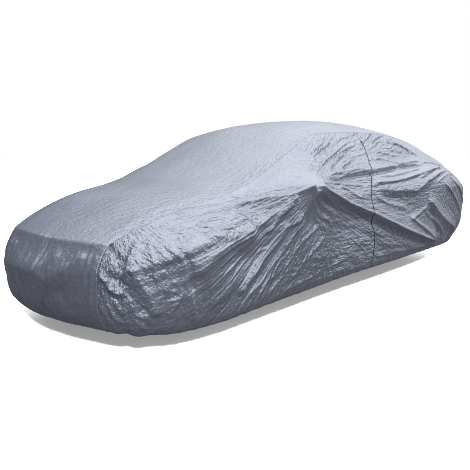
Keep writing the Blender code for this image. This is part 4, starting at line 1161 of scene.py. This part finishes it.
# ------------------------------------------------------------------ trim
def joined(name, verts, faces, material, smooth_shade=False):
    """One mesh object from arrays of points and four-cornered faces."""
    me = bpy.data.meshes.new(name)
    me.vertices.add(len(verts))
    me.vertices.foreach_set("co", np.asarray(verts, np.float32).ravel())
    me.loops.add(faces.size)
    me.loops.foreach_set("vertex_index", faces.astype(np.int32).ravel())
    me.polygons.add(len(faces))
    me.polygons.foreach_set("loop_start", np.arange(0, faces.size, 4, dtype=np.int32))
    me.polygons.foreach_set("use_smooth", np.full(len(faces), smooth_shade))
    me.update(calc_edges=True)
    me.validate()
    ob = bpy.data.objects.new(name, me)
    bpy.context.collection.objects.link(ob)
    me.materials.append(material)
    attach(ob, "root")
    return ob


def resample(line, normals, step, a=0.0, b=1.0):
    """Points every step along part of a line, with tangent, normal and across."""
    q = np.concatenate([[0], np.cumsum(np.linalg.norm(np.diff(line, axis=0), axis=1))])
    at = np.arange(a * q[-1], b * q[-1], step)
    p = np.stack([np.interp(at, q, line[:, k]) for k in range(3)], -1)
    n = np.stack([np.interp(at, q, normals[:, k]) for k in range(3)], -1)
    t = np.gradient(p, axis=0)
    t /= np.linalg.norm(t, axis=1, keepdims=True)
    n -= (n * t).sum(1, keepdims=True) * t
    n /= np.linalg.norm(n, axis=1, keepdims=True)
    return p, t, n, np.cross(t, n)


BLOCK = np.array([(0, 1, 2, 3), (7, 6, 5, 4), (0, 4, 5, 1), (1, 5, 6, 2), (2, 6, 7, 3), (3, 7, 4, 0)])


def blocks(p, t, n, c, size, top, slant=0.0):
    """A small tapered block at each point: size along t, along c, and thickness under top."""
    lt, lc, h = size
    corners = []
    for z, k in ((top, 0.72), (top - h, 1.0)):
        for st, sc in ((-1, -1), (1, -1), (1, 1), (-1, 1)):
            corners.append(p + n * z + t * (st * lt * k / 2 + sc * slant) + c * (sc * lc * k / 2))
    v = np.stack(corners, 1)
    f = BLOCK[None] + 8 * np.arange(len(p))[:, None, None]
    if np.cross(t[0], c[0]) @ n[0] <= 0:    # the winding follows the frame's hand
        f = f[:, :, ::-1]
    return v.reshape(-1, 3), f.reshape(-1, 4)


def stitch_row(name, line, normals, material, pitch=0.0048, length=0.0034, wide=0.0009, a=0.0, b=1.0):
    p, t, n, c = resample(at_mount(line), normals, pitch, a, b)
    v, f = blocks(p, t, n, c, (length, wide, 0.0007), 0.0005)
    return v, f


def gather(parts):
    vs, fs, k = [], [], 0
    for v, f in parts:
        vs.append(v)
        fs.append(f + k)
        k += len(v)
    return np.concatenate(vs), np.concatenate(fs)


def beside(grid, edge, by):
    """The line on a grid that runs by metres inside one of its edges."""
    g = {"first_row": grid, "last_row": grid[::-1], "first_col": grid.transpose(1, 0, 2),
         "last_col": grid.transpose(1, 0, 2)[::-1]}[edge]
    q = np.cumsum(np.linalg.norm(np.diff(g[:8], axis=0), axis=2), 0)
    q = np.concatenate([np.zeros((1, g.shape[1])), q])
    line = np.zeros((g.shape[1], 3))
    for i in range(g.shape[1]):
        for k in range(3):
            line[i, k] = np.interp(by, q[:, i], g[:8, i, k])
    return line


def edge_normals(grid, edge):
    n = facing(grid)
    return {"first_row": n[0], "last_row": n[-1], "first_col": n[:, 0], "last_col": n[:, -1]}[edge]


tape_mat = woven_tape("zip_tape_weave", (0.016, 0.016, 0.020))
coil_mat = plain("zip_coil_nylon", (0.022, 0.022, 0.026), 0.34)
metal_mat = worn_metal("zip_black_metal", (0.055, 0.055, 0.060))
thread_mat = plain("sewing_thread", (0.30, 0.32, 0.37), 0.62)

zip_n = facing(g_rear)[0]
p, t, n, c = resample(at_mount(zip_line), zip_n, 0.0060, ZIP_TOP - 0.012, 0.999)
offs = np.array([-1.0, -0.55, -0.2, 0.2, 0.55, 1.0]) * (ZIP_HALF + 0.009)
rim_pts, depth = [], (0.0022, 0.0034)
for d in depth:
    rim_pts.append(p[:, None] + c[:, None] * offs[None, :, None] - n[:, None] * d)
nr, nc = rim_pts[0].shape[:2]
idx = np.arange(nr * nc).reshape(nr, nc)
quad = np.stack([idx[:-1, :-1], idx[1:, :-1], idx[1:, 1:], idx[:-1, 1:]], -1).reshape(-1, 4)
k0 = nr * nc
sides = []
for line_, flip in ((idx[:, 0], True), (idx[:, -1], False), (idx[0], False), (idx[-1], True)):
    q4 = np.stack([line_[:-1], line_[1:], line_[1:] + k0, line_[:-1] + k0], -1)
    sides.append(q4[:, ::-1] if flip else q4)
tape_faces = np.concatenate([quad, quad[:, ::-1] + k0] + sides)
tape_v = np.concatenate([r.reshape(-1, 3) for r in rim_pts])
fq = tape_v[quad[0]]
if np.cross(fq[2] - fq[0], fq[3] - fq[1]) @ n[0] < 0:
    tape_faces = tape_faces[:, ::-1]
tape = joined("zip_tape", tape_v, tape_faces, tape_mat, True)
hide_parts("zip_strip")

teeth = []
for sign in (-1, 1):
    p, t, n, c = resample(at_mount(zip_line), zip_n, 0.0026, ZIP_TOP + 0.004, 0.995)
    p = p + c * (0.0017 * sign) + t * (0.0013 if sign > 0 else 0)
    teeth.append(blocks(p, t, n, c, (0.0016, 0.0044, 0.0019), -0.0002, slant=0.0003 * sign))
v, f = gather(teeth)
coil = joined("zip_coil", v, f, coil_mat)

# topstitches: both sides of the zip, along every seam and above the hem
rows = []
for grid, edge in ((g_front, "last_row"), (g_rear, "first_row")):
    rows.append(stitch_row("zip", beside(grid, edge, 0.0045), edge_normals(grid, edge), thread_mat,
                           a=ZIP_TOP + 0.01))
for grid in (g_front, g_rear, g_right):
    rows.append(stitch_row("rim", beside(grid, "first_col", 0.006), edge_normals(grid, "first_col"),
                           thread_mat, pitch=0.0060, length=0.0042, wide=0.0010))
    rows.append(stitch_row("hem", beside(grid, "last_col", 0.030), edge_normals(grid, "last_col"),
                           thread_mat, pitch=0.0070, length=0.0050, wide=0.0010))
for grid, edge in ((g_front, "first_row"), (g_right, "first_row"), (g_rear, "last_row"),
                   (g_right, "last_row")):
    rows.append(stitch_row("face", beside(grid, edge, 0.006), edge_normals(grid, edge),
                           thread_mat, pitch=0.0060, length=0.0042, wide=0.0010))
for edge in ("first_row", "last_row"):
    rows.append(stitch_row("hem", beside(g_centre, edge, 0.030), edge_normals(g_centre, edge),
                           thread_mat, pitch=0.0070, length=0.0050, wide=0.0010))
v, f = gather(rows)
thread = joined("topstitches", v, f, thread_mat)


# slider at the top of the closed zip, with its hanging pull
def outline_block(name, outline, z0, z1, bevel, place, material):
    """A flat piece of the given outline between two heights, with soft edges."""
    bm = bmesh.new()
    vs = [bm.verts.new((x, y, z0)) for x, y in outline]
    face = bm.faces.new(vs)
    up_ = bmesh.ops.extrude_face_region(bm, geom=[face])
    moved = [e for e in up_["geom"] if isinstance(e, bmesh.types.BMVert)]
    bmesh.ops.translate(bm, vec=(0, 0, z1 - z0), verts=moved)
    bmesh.ops.recalc_face_normals(bm, faces=bm.faces)
    if bevel:
        flat_edges = [e for e in bm.edges if abs(e.verts[0].co.z - e.verts[1].co.z) < 1e-7]
        bmesh.ops.bevel(bm, geom=flat_edges, offset=bevel, segments=2, profile=0.5, affect="EDGES")
    me = bpy.data.meshes.new(name)
    bm.to_mesh(me)
    bm.free()
    me.shade_smooth()
    me.set_sharp_from_angle(angle=math.radians(40))
    me.transform(place)
    ob = bpy.data.objects.new(name, me)
    bpy.context.collection.objects.link(ob)
    me.materials.append(material)
    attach(ob, "root")
    return ob


def arc(cx, cy, r, a0, a1, steps):
    return [(cx + r * math.cos(math.radians(a0 + (a1 - a0) * i / steps)),
             cy + r * math.sin(math.radians(a0 + (a1 - a0) * i / steps))) for i in range(steps + 1)]


lo, hi = (np.array(v_) for v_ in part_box("zip_slider"))
slider_at = (lo + hi) / 2
near = int(np.argmin(np.linalg.norm(at_mount(zip_line) - slider_at, axis=1)))
down = zip_line[near + 2] - zip_line[near - 2]
down /= np.linalg.norm(down)
out_n = zip_n[near] - (zip_n[near] @ down) * down
out_n /= np.linalg.norm(out_n)
across = np.cross(down, out_n)
seat = at_mount(zip_line)[near] + out_n * 0.0012
place = Matrix.Translation(Vector(seat)) @ Matrix(
    [list(across), list(down), list(out_n)]).transposed().to_4x4()
body = ([(-0.0030, -0.0085), (0.0030, -0.0085)] + arc(0.0042, -0.0030, 0.0016, -60, 30, 3)
        + [(0.0048, 0.0030)] + arc(0.0030, 0.0062, 0.0020, 0, 90, 3)
        + [(0.0008, 0.0070), (-0.0008, 0.0070)] + arc(-0.0030, 0.0062, 0.0020, 90, 180, 3)
        + [(-0.0048, 0.0030)] + arc(-0.0042, -0.0030, 0.0016, 150, 240, 3))
slider = outline_block("zip_slider_body", body, 0.0, 0.0030, 0.0006, place, metal_mat)
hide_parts("zip_slider")
bridge = outline_block("zip_slider_bridge", [(-0.0014, -0.0050), (0.0014, -0.0050), (0.0014, 0.0046),
                                             (-0.0014, 0.0046)], 0.0032, 0.0052, 0.0005, place, metal_mat)
tab = ([(-0.0022, 0.0), (0.0022, 0.0)] + [(0.0030, 0.018)] + arc(0.0, 0.022, 0.0036, 0, 180, 8)
       + [(-0.0030, 0.018)])
pull_place = place @ Matrix.Translation(Vector((0, 0.0050, 0.0056)))
pull = outline_block("zip_pull_tab", tab, 0.0, 0.0014, 0.0004, pull_place, metal_mat)
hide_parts("zip_pull")

for ob, node, flat, area in (
        (centre, "centre_panel", (1.36, CENTRE_RUN), None),
        (front, "left_front_side", (1.30, 2.60), None),
        (rear, "left_rear_side", (1.30, 2.55), None),
        (right, "right_side", (1.30, 5.00), None)):
    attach(ob, "root")
    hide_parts(node)

# ------------------------------------------------------------------ stage
floor_me = bpy.data.meshes.new("studio_floor")
floor_me.from_pydata([(-40, -40, -GROUND_DROP), (40, -40, -GROUND_DROP),
                      (40, 40, -GROUND_DROP), (-40, 40, -GROUND_DROP)], [], [(0, 1, 2, 3)])
floor = bpy.data.objects.new("studio_floor", floor_me)
bpy.context.collection.objects.link(floor)
floor_mat = bpy.data.materials.new("studio_floor")
floor_mat.use_nodes = True
fnt = floor_mat.node_tree
fnt.nodes.clear()
f_out = fnt.nodes.new("ShaderNodeOutputMaterial")
f_seen = fnt.nodes.new("ShaderNodeBsdfDiffuse")
f_seen.inputs["Color"].default_value = (0.70, 0.70, 0.70, 1)
f_back = fnt.nodes.new("ShaderNodeBsdfDiffuse")
f_back.inputs["Color"].default_value = (0.045, 0.045, 0.05, 1)
f_path = fnt.nodes.new("ShaderNodeLightPath")
f_glow = fnt.nodes.new("ShaderNodeEmission")
f_glow.inputs["Color"].default_value = (1, 1, 1, 1)
f_glow.inputs["Strength"].default_value = 0.28
f_sum = fnt.nodes.new("ShaderNodeAddShader")
fnt.links.new(f_seen.outputs[0], f_sum.inputs[0])
fnt.links.new(f_glow.outputs[0], f_sum.inputs[1])
f_mix = fnt.nodes.new("ShaderNodeMixShader")
fnt.links.new(f_path.outputs["Is Camera Ray"], f_mix.inputs[0])
fnt.links.new(f_back.outputs[0], f_mix.inputs[1])
fnt.links.new(f_sum.outputs[0], f_mix.inputs[2])
fnt.links.new(f_mix.outputs[0], f_out.inputs[0])
floor_me.materials.append(floor_mat)

# a low lamp for the floor alone, which keeps the shadow in under the hem
low = bpy.data.lights.new("floor_lamp", "SUN")
low.energy = 14.0
low.angle = math.radians(4.5)
low_ob = bpy.data.objects.new("floor_lamp", low)
bpy.context.collection.objects.link(low_ob)
low_az, low_el = math.radians(54.0), math.radians(31.0)
low_ob.rotation_mode = "QUATERNION"
low_ob.rotation_quaternion = Vector((
    math.sin(low_az) * math.cos(low_el), -math.cos(low_az) * math.cos(low_el),
    math.sin(low_el))).to_track_quat("Z", "Y")
lit = bpy.data.collections.new("lit_by_floor_lamp")
lit.objects.link(floor)
low_ob.light_linking.receiver_collection = lit

# a dim broad panel in front, for the corner that faces the camera
fill = bpy.data.lights.new("front_panel", "AREA")
fill.shape = "RECTANGLE"
fill.size, fill.size_y = 2.2, 1.5
fill.energy = 42.0
fill_ob = bpy.data.objects.new("front_panel", fill)
bpy.context.collection.objects.link(fill_ob)
fill_ob.location = (3.5, -4.7, 0.65)
fill_ob.rotation_mode = "QUATERNION"
fill_ob.rotation_quaternion = Vector((2.9, -2.4, 1.45)).to_track_quat("Z", "Y")

# camera at the photograph's angle
AZIMUTH, ELEVATION, ROLL = 42.861, 8.469, -0.187
CAM_AT = (3.27388, -3.97281 - ROOF_Y, 1.26414 - GROUND_DROP)
a, e = math.radians(AZIMUTH), math.radians(ELEVATION)
back = Vector((math.sin(a) * math.cos(e), -math.cos(a) * math.cos(e), math.sin(e)))
cam_data = bpy.data.cameras.new("camera")
cam_data.sensor_width = 36.0
cam_data.lens = 584.641 / 470 * 36.0
cam_data.shift_y = -4.0 / 470
cam_data.clip_end = 200
cam = bpy.data.objects.new("camera", cam_data)
bpy.context.collection.objects.link(cam)
cam.location = CAM_AT
cam.rotation_mode = "QUATERNION"
cam.rotation_quaternion = (-back).to_track_quat("-Z", "Y") @ Matrix.Rotation(
    math.radians(ROLL), 3, "Z").to_quaternion()
bpy.context.scene.camera = cam

# soft overhead light: bright zenith, dim horizon, plain white behind
KEY_AXIS = (0.19, 0.34, 0.921)
world = bpy.data.worlds.new("studio")
bpy.context.scene.world = world
world.use_nodes = True
nt = world.node_tree
nt.nodes.clear()
N, L = nt.nodes.new, nt.links.new
w_out = N("ShaderNodeOutputWorld")
coord = N("ShaderNodeTexCoord")
toward = N("ShaderNodeVectorMath")
toward.operation = "DOT_PRODUCT"
toward.inputs[1].default_value = KEY_AXIS
L(coord.outputs["Generated"], toward.inputs[0])
ramp = N("ShaderNodeValToRGB")
els = ramp.color_ramp.elements
els[0].position, els[0].color = 0.0, (0.058, 0.062, 0.082, 1)
els[1].position, els[1].color = 1.0, (0.92, 0.92, 0.92, 1)
for at, colour in ((0.27, (0.070, 0.074, 0.092)), (0.39, (0.235, 0.242, 0.265)),
                   (0.50, (0.45, 0.46, 0.48)), (0.63, (0.66, 0.66, 0.67)),
                   (0.80, (0.87, 0.87, 0.87))):
    el = els.new(at)
    el.color = (*colour, 1)
L(toward.outputs["Value"], ramp.inputs["Fac"])
bg_light = N("ShaderNodeBackground")
bg_light.inputs["Strength"].default_value = 2.35
L(ramp.outputs["Color"], bg_light.inputs["Color"])
bg_seen = N("ShaderNodeBackground")
bg_seen.inputs["Color"].default_value = (1, 1, 1, 1)
path = N("ShaderNodeLightPath")
mixw = N("ShaderNodeMixShader")
L(path.outputs["Is Camera Ray"], mixw.inputs[0])
L(bg_light.outputs[0], mixw.inputs[1])
L(bg_seen.outputs[0], mixw.inputs[2])
L(mixw.outputs[0], w_out.inputs[0])

bpy.context.scene.view_settings.view_transform = "Standard"
bpy.context.scene.cycles.filter_width = 1.0
